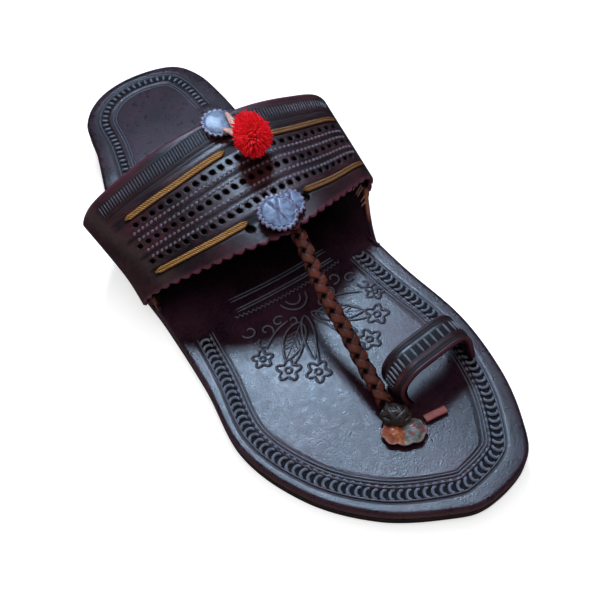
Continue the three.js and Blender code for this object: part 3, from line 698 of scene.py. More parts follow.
# The insole and its tooling
# The borders' margins from the sole's edge: angle, outer line, inner line. Heel angles on the inner side are
# below 0.
HEEL_BORDER = np.array([
    (-45, 9.6, 14.2), (-34, 8.5, 13.7), (-20, 8.4, 14.4), (-5, 5.7, 12.2), (4, 5.3, 11.4), (14, 6.0, 12.4),
    (26, 6.8, 12.8), (38, 7.4, 12.4), (46, 7.8, 13.0), (56, 10.9, 16.2),
])
FORE_BORDER = np.array([
    (96, 7.2, 13.2), (102, 5.3, 11.2), (110, 3.3, 9.2), (118, 4.2, 10.2), (132, 4.0, 10.4), (146, 4.7, 11.5),
    (160, 4.8, 12.0), (170, 6.4, 13.4), (182, 7.4, 14.4), (192, 8.6, 15.2), (204, 8.1, 15.0),
    (214, 7.2, 13.8), (226, 6.2, 13.2), (246, 5.6, 12.2), (254, 6.2, 12.8), (262, 8.0, 15.0),
])
STAMP_PITCH = 3.04
# Rows of the insole's grid, as distances in from the border's outer line.
BORDER_OFFSETS = np.concatenate([[-1.3, -0.55, 0.0, 0.55], np.linspace(1.1, 9.1, 17)])
STATIONS = 600  # from heel to toe on each side

# The tooled spray, in plan. Flowers: x, y, radius, turn. Leaves: root, tip, width, veins a side.
# Scrolls: x, y, radius, turn. Waist lines: y and how far their ends bow back.
FLOWERS = ((22, 50.6, 5.1, 20), (12.6, 57.8, 5.1, 65), (-12.7, 56.8, 5.0, 40), (-22.4, 48.6, 5.0, 85),
           (27.6, 40.2, 4.3, 30), (-28.5, 38.5, 4.2, 10))
STEM_ROOT = np.array([1.2, 31.0])
LEAVES = (((5.0, 34.0), (20.5, 46.5), 8.5, 4), ((2.0, 32.0), (10.8, 52.6), 5.0, 0),
          ((-2.0, 34.0), (-19.5, 44.2), 8.0, 4), ((-1.2, 32.0), (-10.8, 51.6), 5.0, 0))
SCROLLS = ((25, 26, 3.4, 0), (18.8, 29.5, 3.0, 120), (12.4, 28.6, 2.8, 200), (7.4, 31.4, 2.4, 40),
           (23, 34.4, 2.6, 280), (-18.4, 23, 3.2, 60), (-24.4, 27, 3.0, 190), (-27.4, 32.6, 2.6, 330),
           (-13, 27.4, 2.8, 100), (-8, 31.0, 2.4, 230))
WAIST_LINES = ((8.4, 1.2), (9.9, 1.2), (14.0, 0.8), (15.4, 0.8))


def margins(angle):
    """The outer and inner line of the border at each angle: both tables, evened over 24 degrees."""
    table = np.concatenate([HEEL_BORDER, FORE_BORDER])
    near = [(np.asarray(angle) + turn + 90) % 360 - 90 for turn in (-12, -8, -4, 0, 4, 8, 12)]
    return tuple(sum(np.interp(a, table[:, 0], table[:, k]) for a in near) / 7 for k in (1, 2))


def strap_gap(angle):
    """How much further in the insole's edge lies where the strap's wall passes outside it."""
    p = outline_point(angle)
    y = p[..., 1] / SOLE_LENGTH
    side = angle % 360 < 180
    front = np.where(side, FOOT_FRONT[1], FOOT_FRONT[-1])
    reach = window(y, FOOT_REAR - 0.008, front + 0.008, 0.008)
    return reach * (WALL_INSET + STRAP_THICKNESS / 2 + 0.35)


def flower_lines(x, y, radius, turn):
    """Five-petal flower as a closed line: r = radius (0.8 + 0.2 cos 5a), with a small ring at its heart."""
    a = np.linspace(0, 2 * np.pi, 61)
    r = radius * (0.8 + 0.2 * np.cos(5 * (a - math.radians(turn))))
    heart = np.stack([x + 0.26 * radius * np.cos(a[::6]), y + 0.26 * radius * np.sin(a[::6])], -1)
    return [np.stack([x + r * np.cos(a), y + r * np.sin(a)], -1), heart]


def leaf_lines(root, tip, width, veins):
    """A pointed leaf: at the share s from root to tip its half width is width / 2 times sin(pi s^0.8)^0.8,
    with a midrib and slanting veins."""
    root, tip = np.array(root, float), np.array(tip, float)
    along = tip - root
    across = np.array([-along[1], along[0]]) / np.linalg.norm(along)
    s = np.linspace(0, 1, 16)[:, None]
    half = width / 2 * np.sin(np.pi * s ** 0.8) ** 0.8
    lines = [root + along * s + across * half, root + along * s - across * half]
    if veins:
        lines.append(np.array([root, root + 0.92 * along]))
        for k in range(1, veins + 1):
            foot = root + along * (0.12 + 0.62 * k / (veins + 1))
            for way in (-1, 1):
                lines.append(np.array([foot, foot + 0.18 * along + way * across * width * 0.36]))
    return lines


def scroll_lines(x, y, radius, turn, sweep=300):
    """A curl: the radius shrinks evenly as it turns."""
    a = np.radians(turn + np.linspace(0, sweep, 18))
    r = radius * np.linspace(1, 0.3, 18)
    return [np.stack([x + r * np.cos(a), y + r * np.sin(a)], -1)]


def ornament():
    """The tooled spray: flowers on bent stems, leaves and scrolls, double lines and a zigzag across the
    waist, and two arches at the root. Every item is a run of points in plan."""
    lines = []
    for x, y, radius, turn in FLOWERS:
        lines += flower_lines(x, y, radius, turn)
        s = np.linspace(0.3, 0.86, 10)[:, None]
        bend = np.array([0.0, 1.0]) * 4 * np.sin(np.pi * s) * np.sign(31 - abs(x) * 1.2)
        lines.append(STEM_ROOT + (np.array([x, y]) - STEM_ROOT) * s + bend)
    for leaf in LEAVES:
        lines += leaf_lines(*leaf)
    for scroll in SCROLLS:
        lines += scroll_lines(*scroll)
    x = np.linspace(-24, 24, 16)
    for y, bow in WAIST_LINES:
        lines.append(np.stack([x, y - bow * (x / 24) ** 2], -1))
    x = np.linspace(-26, 26, 53)
    lines.append(np.stack([x, 18.2 + 1.3 * (np.arange(53) % 2) - 2.2 * (x / 26) ** 2], -1))
    a = np.linspace(0.15, np.pi - 0.15, 20)
    for y, half_width, height in ((20.5, 6.2, 7.5), (20.8, 3.4, 4.4)):
        lines.append(np.stack([1.2 + half_width * np.cos(a), y + height * np.sin(a)], -1))
    return lines


def sole_grid():
    """Plan points of the insole: one column for each station round the outline, one row for each inset.

    The rows start at the edge, follow the border's lines through BORDER_OFFSETS, and then run straight to
    the sole's middle line, where the columns of the two sides meet.
    """
    angle = stations_round(STATIONS, 2001)
    edge, way = outline_point(angle), inward(angle)
    outer, _ = margins(angle)
    gap = strap_gap(angle)
    insets = [np.full(len(angle), v) for v in (0.0, 0.25, 0.8, 1.5)]
    insets += [mix(1.5, outer + BORDER_OFFSETS[0], f) for f in (0.35, 0.7)]
    insets += [outer + v for v in BORDER_OFFSETS]
    insets = np.array(insets)
    insets = insets + gap * (1 - insets / (insets[-1] + 1))
    plan = edge[None] + way[None] * insets[..., None]
    last = plan[-1]
    inner = np.linspace(0, 1, 42)[1:]
    plan = np.concatenate([plan, last[None] + (middle_line(angle) - last)[None] * inner[:, None, None]])
    return angle, insets, plan


def border_relief(angle, insets):
    """Height of the two stamped borders, in mm, and their painted shade: grooves at the lines and a sunk
    trough between them, both painted dark."""
    outer, inner = margins(angle)
    a = (angle + 90) % 360 - 90
    q = insets - outer[None]
    w = (inner - outer)[None]
    fore = window(a, 97, 263, 2.0)
    heel = window(a, -46, 57, 2.0)
    fore_trough = window(q, 0.7, 5.3, 0.6)
    fore_lines = groove(q, 0.0, 0.4) + groove(q, w - 0.3, 0.4) + groove(q, w + 1.0, 0.4)
    fore_lines += 0.5 * groove(q, w + 2.1, 0.35)
    heel_trough = window(q, 0.1, 3.4, 0.6)
    heel_lines = groove(q, -1.2, 0.35) + groove(q, w - 0.2, 0.4) + groove(q, w + 1.1, 0.4)
    depth = fore * (0.5 * fore_trough + 0.35 * fore_lines) + heel * (0.5 * heel_trough + 0.35 * heel_lines)
    dark = fore * (fore_trough + 0.6 * fore_lines) + heel * (heel_trough + 0.6 * heel_lines)
    return -depth, np.clip(dark, 0, 1)


# The stamps, each a path of places along the border, in pitches, and in from its outer line, in mm.
CRESCENT = np.array([
    (0.62, 1.1), (0.3, 1.3), (0.12, 2.0), (0.08, 3.0), (0.14, 3.9), (0.34, 4.6), (0.64, 4.8),
])
DOT = np.array([(0.2, 5.9), (0.45, 6.1), (0.7, 5.9)])
BAR = np.array([(0.2, 0.5), (0.26, 1.2), (0.3, 2.0), (0.3, 2.8), (0.26, 3.4)])


def border_path(angle, inset):
    """A path on the insole at each angle, so far in from the outline, and further in beside the strap."""
    plan = outline_point(angle) + inward(angle) * (inset + strap_gap(angle) * 0.6)[:, None]
    return on_insole(plan)


def stamp_paths():
    """The stamps of both borders: a crescent each with a dot inwards of it round the forefoot, and a plain
    bar each round the heel, spaced by the length of a line 3 mm in from the border's outer one."""
    fine = np.arange(-46, 263, 0.1)
    line = outline_point(fine % 360) + inward(fine % 360) * (margins(fine)[0] + 3)[:, None]
    run = run_length(line)
    paths = []
    for low, high, shapes in ((97.5, 262.5, (CRESCENT, DOT)), (-45.5, 56.5, (BAR,))):
        start, end = np.interp((low, high), fine, run)
        for place in np.arange(start, end, STAMP_PITCH):
            for shape in shapes:
                angle = np.interp(place + shape[:, 0] * STAMP_PITCH, run, fine) % 360
                paths.append(border_path(angle, margins(angle)[0] + shape[:, 1]))
    return paths


def border_lines():
    """The fine raised lines that run beside the stamps of both borders."""
    fore = ((0, 0.55), (1, 0.3), (1, 1.6))
    heel = ((0, -0.6), (1, 0.4), (1, 1.7))
    paths = []
    for low, high, places in ((97, 263, fore), (-46, 57, heel)):
        angle = np.arange(low, high, 0.75) % 360
        for line, offset in places:
            paths.append(border_path(angle, margins(angle)[line] + offset))
    return paths


def ridges(paths, width, height, lift):
    """Half-round ridges along paths (x, y, z), tapered at both ends."""
    parts = []
    for path in paths:
        path = path + [0, 0, lift]
        level = unit(np.gradient(path, axis=0))
        side = np.cross([0, 0, 1.0], level)
        steps = np.arange(len(path))
        taper = np.clip(np.minimum(steps, steps[::-1]) / 2.0 + 0.5, 0.5, 1)
        parts.append(tube(path, rounded_profile(width, height, 2.0, 8)[None] * taper[:, None, None], side))
    return joined(parts)


def insole_points():
    """All points of the insole: bottom middle, bottom edge, rounded rim, and the tooled top."""
    angle, insets, plan = sole_grid()
    z = insole_top(plan[..., 1])
    dark = np.zeros(z.shape)
    depth, dark[:len(insets)] = border_relief(angle, insets)
    z[:len(insets)] += depth
    z[0] -= 0.9
    z[1] -= 0.35
    z[2] -= 0.06
    top = np.concatenate([plan, z[..., None]], -1)
    bottom_z = outsole_top(plan[..., 1]) + CLEARANCE
    axis = np.concatenate([plan[-1], bottom_z[-1][:, None]], -1)
    under = np.concatenate([plan[2], bottom_z[2][:, None]], -1)
    low_edge = np.concatenate([plan[0], bottom_z[0][:, None] + 0.4], -1)
    points = np.concatenate([axis[None], under[None], low_edge[None], top])
    wear = np.zeros(points.shape[:2])
    wear[2:5] = np.array([0.9, 0.9, 0.45])[:, None]
    # painted shade in the borders' grooves and troughs
    pit = np.concatenate([np.zeros((3, dark.shape[1])), dark])
    return points, wear, pit


def seam_merged(rows, columns, quads):
    """Quad numbers with the first and last row folded over, so that both sides' columns share points."""
    k = np.arange(columns)
    fold = np.arange(rows * columns)
    fold[:columns] = np.minimum(k, (columns - k) % columns)
    last = (rows - 1) * columns
    fold[last:] = last + np.minimum(k, (columns - k) % columns)
    return fold[quads]


def split_faces(quads):
    """Quads whose corners differ, and triangles in place of those with a doubled corner."""
    doubled = quads == np.roll(quads, -1, axis=1)
    count = doubled.sum(1)
    tris = quads[count == 1]
    keep = ~doubled[count == 1]
    tris = tris[keep].reshape(-1, 3) if len(tris) else tris.reshape(0, 3)
    full = quads[count == 0]
    crossed = (full[:, 0] == full[:, 2]) | (full[:, 1] == full[:, 3])
    return [f for f in (full[~crossed], tris) if len(f)]


# Settings
def colour(label, value):
    """A colour that the user can set."""
    return bpy.props.FloatVectorProperty(
        name=label, description=f"{label}: linear colour", subtype="COLOR", size=3, min=0, max=1,
        default=value)


def power(label, value):
    """A lamp's power that the user can set."""
    return bpy.props.FloatProperty(
        name=label, description="Power in watts", unit="POWER", default=value, min=0)


class SandalSole(bpy.types.PropertyGroup):
    """Sole and insole."""

    insole_dark: colour("Insole dark", (0.01, 0.004, 0.008))
    insole_light: colour("Insole light", (0.044, 0.016, 0.028))
    sole_dark: colour("Sole dark", (0.003, 0.0022, 0.002))
    sole_light: colour("Sole light", (0.014, 0.009, 0.0075))
    edge_colour: colour("Worn edge", (0.06, 0.022, 0.024))


class SandalStrap(bpy.types.PropertyGroup):
    """Strap, toe loop and woven bands."""

    dark: colour("Strap dark", (0.008, 0.0042, 0.006))
    light: colour("Strap light", (0.055, 0.015, 0.019))
    edge: colour("Strap edge", (0.14, 0.03, 0.05))
    gold: colour("Gold thread", (0.66, 0.31, 0.07))


class SandalTrim(bpy.types.PropertyGroup):
    """Thong, knot, rosettes, petals and pompom."""

    braid_dark: colour("Thong dark", (0.018, 0.005, 0.005))
    braid_light: colour("Thong light", (0.12, 0.016, 0.012))
    rosette_dark: colour("Rosette dark", (0.06, 0.07, 0.14))
    rosette_light: colour("Rosette light", (0.18, 0.25, 0.4))
    pompom: colour("Pompom", (1.0, 0.012, 0.026))
    pompom_locks: bpy.props.IntProperty(
        name="Locks", description="Locks of wool in the pompom", default=1500, min=50)
    plait_pitch: bpy.props.FloatProperty(
        name="Plait pitch", description="Length of one full turn of a strip, in mm", default=13.2, min=5)


class SandalStage(bpy.types.PropertyGroup):
    """Camera and light."""

    lens: bpy.props.FloatProperty(
        name="Lens", description="Focal length in mm", unit="CAMERA", default=52.0, min=10)
    key_power: power("Key light", 0.042)
    fill_power: power("Rear fill", 3.4)
    top_power: power("Top light", 8.5)
    side_power: power("Side light", 0.3)


# Operators
class MakeInsole(bpy.types.Operator):
    """Insole with its stamped borders and tooled flowers"""

    bl_idname = "sandal.insole"
    bl_label = "Insole"

    def execute(self, context):
        points, wear, pit = insole_points()
        rows, columns = points.shape[:2]
        quads = seam_merged(rows, columns, grid_quads(rows, columns, wrap_columns=True))
        make_piece("insole_tooled", points, split_faces(quads), "insole", "insole_leather", ("insole",),
                   sharp=70, wear=wear, pit=pit)
        self.raised_lines()
        return {"FINISHED"}

    def raised_lines(self):
        """The tooling stands up as low half-round ridges that follow its lines: a wider dark ridge that is
        the spray's painted shadow, the spray itself, and the lines and stamps of the borders, these three
        with a painted highlight."""
        spray = [on_insole(line) for line in ornament()]
        # the spray's ridges sit a little to one side of the wider dark ridge, their painted shadow
        shifted = [path + [0.25, -0.25, 0] for path in spray]
        # Columns: name, paths, width, height, lift, painted shade, painted highlight.
        for name, paths, width, height, lift, pit, rub in (
            ("insole_ornament_shade", spray, 1.7, 0.4, -0.08, 0.7, 0.0),
            ("insole_ornament", shifted, 0.8, 0.9, 0.05, 0.0, 0.5),
            ("insole_lines", border_lines(), 0.55, 0.6, 0.0, 0.0, 0.5),
            ("insole_stamps", stamp_paths(), 1.25, 1.4, -0.25, 0.0, 0.8),
        ):
            points, faces = ridges(paths, width, height, lift)
            make_piece(name, points, faces, "insole", "insole_leather", ("insole",), wear=0.0, pit=pit,
                       rub=rub)


# How far an ear runs on ahead of the strap, as a share of the strap's depth, and the columns of its stitches.
EAR_FLARE = {1: 0.1, -1: 0.3}
STITCH_COLUMNS = (36, 38, 40, 41, 43, 44)


def ear_points(side):
    """A turned-up ear of the insole: a sheet from its root in the insole up inside the strap's wall.

    Ahead of the strap it shrinks to the sole's edge as (1 - ahead)^1.45. Gives the sheet's points, the way
    out of it, and the shares across and along it.
    """
    along = np.linspace(-0.05, 1.0 + EAR_FLARE[side], 56)
    across, along = np.meshgrid(np.linspace(0, 1, 15), along, indexing="ij")
    shift = STRAP_THICKNESS / 2 + 0.55 + EAR_THICKNESS / 2

    def root(y):
        return np.stack([edge_x(side, y) - side * 1.3, y, insole_top(y) - 1.2], -1)

    def middle(u, a_full):
        a = np.minimum(a_full, 1.0)
        foot = foot_rows(side, a)[-1]
        x, y = foot[..., 0] - side * shift, foot[..., 1]
        low = outsole_top(y) + CLEARANCE
        wall = strap_share_row(0 if side < 0 else 10)
        shoulder = strap_share_row(1 if side < 0 else 9)
        top = mix(wall, shoulder, 0.7)
        controls = strap_controls(a)

        def on_strap(t):
            step = 2e-3
            t = np.full(a.shape, t)
            c = spline(controls, t + step) - spline(controls, t - step)
            f = spline(strap_controls(a + step), t) - spline(strap_controls(a - step), t)
            return spline(controls, t) - unit(np.cross(c, f)) * shift

        rows = [np.stack([x - side * 6, y, low + 1.75], -1), np.stack([x - side * 1.2, y, low + 2.1], -1),
                on_strap(wall), on_strap(top)]
        sheet = spline(np.stack(rows, -2), u)
        ahead = np.clip((a_full - 1.0) / EAR_FLARE[side], 0, 1)[..., None]
        return root(y + (a_full - a) * STRAP_DEPTH) + (sheet - root(y)) * (1 - ahead) ** 1.45

    step = 2e-3
    u = np.clip(across, step, 1 - step)
    here = middle(u, along)
    normal = unit(np.cross(middle(u + step, along) - middle(u - step, along),
                           middle(u, along + step) - middle(u, along - step)))
    return here, normal * -side, across, along


def strap_share_row(row):
    """The share of the cross line at which one of STRAP_ROWS lies."""
    return (row + 4) / (len(STRAP_ROWS) + 7)


class MakeEars(bpy.types.Operator):
    """Ears of the insole, turned up inside the strap's walls"""

    bl_idname = "sandal.ears"
    bl_label = "Ears"

    def execute(self, context):
        for side, name in ((1, "ear_outer"), (-1, "ear_inner")):
            here, out, across, along = ear_points(side)
            sheet = here - out * EAR_THICKNESS / 2
            quads = grid_quads(*sheet.shape[:2])
            if side > 0:
                quads = quads[:, ::-1]
            wear = smooth((across - 0.88) / 0.1) * window(along, 1.0, 1.13, 0.03)
            piece = make_piece(name, sheet, quads, "ear", "insole_leather", ("insole",), wear=wear, pit=0)
            thicken(piece, EAR_THICKNESS)
            round_edges(piece, 0.5)
            if side < 0:
                self.stitches(here, out)
        return {"FINISHED"}

    def stitches(self, here, out):
        """Whip stitches of pale thread over the inner ear's top edge, behind the strap's front edge."""
        parts = []
        ends = np.linspace(0, 1, 7)[:, None]
        for column in STITCH_COLUMNS:
            start, stop = here[10, column], here[14, column + 1]
            face = out[12, column] * (EAR_THICKNESS / 2 + 0.1)
            path = start - face + (stop - start) * ends - out[12, column] * 0.3 * np.sin(np.pi * ends)
            side = np.broadcast_to(np.cross(out[12, column], stop - start), path.shape)
            parts.append(tube(path, rounded_profile(0.75, 0.6, 2, 8), side))
        points, faces = joined(parts)
        make_piece("ear_stitches", points, faces, "petal", "petal_leather", ("insole",), wear=0.2)


# The outsole's edge from below: how far in from the outline, and how far up.
OUTSOLE_PROFILE = ((3.0, 0.0), (0.9, 0.0), (0.35, 0.25), (0.05, 0.8), (0.0, 1.9), (0.12, 2.1), (0.0, 2.3),
                   (0.0, 3.5), (0.2, 4.0), (0.7, 4.2), (3.0, 4.2))
HEEL_JOINTS = (3.2, 6.4)  # heights of the joints between the heel's layers
HEEL_LEVELS = [0.0, 0.0, 0.5, 1.8, 4.8, 8.0, 9.6]
HEEL_LEVELS = sorted(HEEL_LEVELS + [j + d for j in HEEL_JOINTS for d in (-0.3, 0.0, 0.3)])


class MakeOutsole(bpy.types.Operator):
    """Outsole and stacked heel"""

    bl_idname = "sandal.outsole"
    bl_label = "Outsole and heel"

    def execute(self, context):
        angle = stations_round(240, 1001)
        edge, way = outline_point(angle), inward(angle)
        axis = middle_line(angle)
        loops = [np.concatenate([axis, rise(axis[:, 1])[:, None]], -1)]
        for inset, up in OUTSOLE_PROFILE:
            p = edge + way * inset
            loops.append(np.concatenate([p, (rise(p[:, 1]) + up)[:, None]], -1))
        loops.append(np.concatenate([axis, outsole_top(axis[:, 1])[:, None]], -1))
        points = np.array(loops)
        rows, columns = points.shape[:2]
        quads = seam_merged(rows, columns, grid_quads(rows, columns, wrap_columns=True))
        wear = np.zeros((rows, columns))
        wear[8:11] = 0.5
        make_piece("outsole_slab", points, split_faces(quads), "sole", "sole_leather", ("outsole",), sharp=60,
                   wear=wear)
        self.heel()
        return {"FINISHED"}

    def heel(self):
        """Heel block: the sole's outline up to the breast, in stacked layers with a groove at each joint."""
        breast = -HALF_LENGTH + HEEL_BREAST * SOLE_LENGTH
        angle = np.degrees(np.arccos(-breast / HALF_LENGTH))
        arc = outline_point(np.linspace(-angle, angle, 150))
        line = np.linspace(arc[-1], arc[0], 40)[1:-1]
        line[:, 1] += 2.2 * np.sin(np.linspace(0, np.pi, 38))
        ring = np.concatenate([arc, line])
        centre = np.array([mix(arc[0, 0], arc[-1, 0], 0.5), -96.0])
        loops = []
        for k, h in enumerate(HEEL_LEVELS):
            at_joint = any(abs(h - j) < 0.05 for j in HEEL_JOINTS)
            inset = 1.5 if k == 0 else 0.9
            inset += 0.35 * at_joint + 0.5 * (k == 1) + 0.1 * math.sin(9.0 * h)
            p = ring - unit(ring - centre) * inset
            room = rise(p[:, 1]) - CLEARANCE
            z = np.minimum(h / HEEL_LEVELS[-1] * room, room)
            loops.append(np.concatenate([p, np.maximum(z, 0)[:, None]], -1))
        top_z = rise(centre[1]) - CLEARANCE
        bottom, top = (np.broadcast_to([*centre, z], (len(ring), 3)) for z in (0.0, top_z))
        points = np.array([bottom, *loops, top])
        make_piece("heel_stack", points, grid_quads(len(points), len(ring), wrap_columns=True), "sole",
                   "sole_leather", ("heel_lift",), sharp=60, merge=0.02, wear=0.2)


def strap_mesh():
    """The strap's outer face as a grid of (distance, along), holes cut and the front edge scalloped."""
    columns = np.arange(STRAP_START, STRAP_END, 0.5)
    rows = np.arange(0, 0.945, 0.0105)
    rows = np.concatenate([rows, np.linspace(rows[-1] + 0.008, 1.0, 7)])
    d, a = np.meshgrid(columns, rows, indexing="ij")
    shape = d.shape
    scallop = np.abs(np.cos(np.pi * d / SCALLOP_PITCH)) ** 0.7
    a = a - np.clip((a - 0.955) / 0.045, 0, 1) * SCALLOP_DEPTH * (1 - scallop)
    holes = []
    for al, count, middle in HOLE_ROWS:
        places = middle * HALF_BALL + (np.arange(count) - (count - 1) / 2) * HOLE_PITCH
        holes += [(sagged(al, dist), dist, HOLE_DIAMETER / 2) for dist in places]
    holes += [(al, share * HALF_BALL, LACE_HOLE_DIAMETER / 2) for al, share in LACE_HOLES]
    flat_d, flat_m = d.ravel().copy(), (a * STRAP_DEPTH).ravel().copy()
    quads = grid_quads(*shape)[:, ::-1]
    keep = np.ones(len(quads), bool)
    cd, cm = flat_d[quads].mean(1), flat_m[quads].mean(1)
    rim = np.zeros(len(flat_d))
    for al, dist, radius in holes:
        gap = np.hypot(cd - dist, cm - al * STRAP_DEPTH)
        cut = gap < radius
        keep &= ~cut
        near = np.unique(quads[(gap < radius + 0.9) & ~cut])
        far = np.unique(quads[cut])
        edge = np.intersect1d(near, far)
        vd, vm = flat_d[edge] - dist, flat_m[edge] - al * STRAP_DEPTH
        r = np.hypot(vd, vm)
        flat_d[edge] = dist + vd / r * radius
        flat_m[edge] = al * STRAP_DEPTH + vm / r * radius
        rim[edge] = 1
    return flat_d.reshape(shape), (flat_m / STRAP_DEPTH).reshape(shape), quads[keep], rim.reshape(shape)


def strap_relief(d, a):
    """Relief of the strap's outer face: grooves that part the rows, a sunk field for each woven band, and
    edges that round off."""
    mm = (a - sagged(0.0, d)) * STRAP_DEPTH
    reach = window(d, -57, 54, 3.0)
    h = np.zeros(d.shape)
    for line, depth, width in zip(LINES, LINE_DEPTHS, LINE_WIDTHS):
        h -= depth * groove(mm, line * STRAP_DEPTH, width) * reach
    for band in (0.272, 0.79):
        h -= 0.3 * window(mm, band * STRAP_DEPTH - 1.9, band * STRAP_DEPTH + 1.9, 0.6) * reach
    h += 0.15 * window(mm, 0.02 * STRAP_DEPTH, 0.15 * STRAP_DEPTH, 1.2) * reach
    edge = np.minimum(a, 1 - a) * STRAP_DEPTH
    h -= 0.5 * (1 - smooth(edge / 1.1)) ** 2
    return h


def strap_shade(d, a):
    """Painted shade: where the strap is painted black, in its grooves, under the border's bars and beside the
    woven bands.
    """
    mm = (a - sagged(0.0, d)) * STRAP_DEPTH
    reach = window(d, -57, 54, 3.0)
    dark = np.zeros(d.shape)
    for line in LINES:
        dark += 1.2 * groove(mm, line * STRAP_DEPTH, 0.38)
    for band in (0.272, 0.79):
        dark += 0.8 * window(mm, band * STRAP_DEPTH - 2.0, band * STRAP_DEPTH + 2.0, 0.5)
    dark += 0.85 * window(mm, 0.03 * STRAP_DEPTH, 0.14 * STRAP_DEPTH, 0.6)
    return np.clip(dark, 0, 1) * reach


class MakeStrap(bpy.types.Operator):
    """Instep strap with its holes, grooves, scalloped edge and stitched border"""

    bl_idname = "sandal.strap"
    bl_label = "Instep strap"

    def execute(self, context):
        d, a, quads, rim = strap_mesh()
        points = strap_point(d, a, STRAP_THICKNESS / 2 + strap_relief(d, a))
        used = np.unique(quads)
        renumber = np.full(d.size, -1)
        renumber[used] = np.arange(len(used))
        edge = np.clip(1 - np.minimum(a * 1.3, 1 - a) * STRAP_DEPTH / 2.6, 0, 1)
        # painted shade in the grooves, under the bars, beside the bands and round the holes
        pit = np.maximum(strap_shade(d, a), 0.9 * rim)
        piece = make_piece("strap_leather", points.reshape(-1, 3)[used], renumber[quads], "strap",
                           "strap_leather", ("instep_strap",), sharp=60, wear=edge.ravel()[used],
                           pit=pit.ravel()[used])
        thicken(piece, STRAP_THICKNESS - LINING_THICKNESS - 0.04)
        self.lining()
        self.border()
        self.stitches()
        return {"FINISHED"}

    def lining(self):
        """Lining: a thin sheet under the punched leather, which closes the small holes from below; its
        near-black colour is painted shade seen through them.
        """
        d, a = np.meshgrid(np.arange(STRAP_START, STRAP_END, 1.5), np.linspace(0.02, 0.94, 40), indexing="ij")
        points = strap_point(d, a, LINING_THICKNESS - STRAP_THICKNESS / 2)
        piece = make_piece("strap_lining", points, grid_quads(*d.shape)[:, ::-1], "lining", "strap_leather",
                           ("instep_strap",))
        thicken(piece, LINING_THICKNESS)

    def border(self):
        """Rear border: short bars laid across it side by side, each a half-round rib, with a painted
        highlight strongest towards the strap's middle, where the light falls.
        """
        parts, rub = [], []
        profile = rounded_profile(0.75, 1.0, 2.2, 8)[None] * swell(7)[:, None, None]
        for dist in np.arange(-55.5, 54.5, BAR_PITCH):
            along = sagged(np.linspace(0.035, 0.135, 7), dist)
            lean = np.linspace(-0.35, 0.35, 7)
            path = strap_point(dist + lean, along, STRAP_THICKNESS / 2 + 0.1)
            side = strap_point(dist + lean + 0.5, along, STRAP_THICKNESS / 2 + 0.1) - path
            parts.append(tube(path, profile, side))
            # painted highlight, strongest near the strap's middle where the light falls
            rub.append(np.full(len(parts[-1][0]), 0.1 + 0.5 * groove(dist, 6, 26)))
        points, faces = joined(parts)
        make_piece("strap_border_bars", points, faces, "strap", "strap_leather", ("instep_strap",), wear=0.0,
                   rub=np.concatenate(rub))

    def stitches(self):
        """Small raised loops in a row on each side of the two grooves between the rows of holes, painted with
        a pinkish edge colour and a pale blue-grey highlight.
        """
        parts = []
        lift = STRAP_THICKNESS / 2 + 0.1
        s = np.linspace(-1, 1, 6)
        profile = rounded_profile(1.25, 0.9, 2, 6)[None] * swell(6, 0.04)[:, None, None]
        for line in STITCH_LINES:
            for dist in np.arange(-54, 51, STITCH_PITCH):
                path = strap_point(dist + 0.72 * s, sagged(line, dist) + 0.35 * s / STRAP_DEPTH, lift)
                side = strap_point(dist + 0.72 * s, sagged(line + 0.02, dist), lift) - path
                parts.append(tube(path, profile, side))
        points, faces = joined(parts)
        # the edge colour and the blue-grey on the loops stand for a painted highlight
        make_piece("strap_stitch_loops", points, faces, "strap", "strap_leather", ("instep_strap",), wear=0.5,
                   rub=0.5)


class MakeBands(bpy.types.Operator):
    """Woven gold bands laid in the strap"""

    bl_idname = "sandal.bands"
    bl_label = "Woven bands"

    def execute(self, context):
        for name, (along, start, end) in BANDS.items():
            start, end = start * HALF_BALL, end * HALF_BALL
            count = int(abs(end - start) / 0.22)
            u, v = np.meshgrid(np.linspace(start, end, count), np.linspace(-1, 1, 15), indexing="ij")
            taper = np.clip(np.minimum(u - start, end - u) / 2.2, 0.05, 1) ** 0.6
            lean = np.where(v > 0, 1, -1) * 0.9 * np.abs(v)
            weave = np.abs(np.sin(np.pi * (u / 1.1 + lean)))
            rail = window(np.abs(v), 0.8, 1.2, 0.15)
            seam = groove(v, 0, 0.14)
            lift = STRAP_THICKNESS / 2 + 0.3 + 0.42 * weave * (1 - rail) * (1 - 0.6 * seam) + 0.25 * rail
            lift = lift - 0.5 * np.abs(v) ** 8
            points = strap_point(u, sagged(along, u) + v * taper * 1.5 / STRAP_DEPTH, lift)
            dull = 0.45 if name.startswith("inner") else 0.0
            dark = np.clip(dull + 0.75 * (1 - weave) + 0.5 * rail + 0.6 * seam, 0, 1)
            piece = make_piece("band_" + name, points, grid_quads(*u.shape)[:, ::-1], "gold", "gold_thread",
                               ("gold_band_" + name,), wear=dark)
            thicken(piece, 0.5)
        return {"FINISHED"}


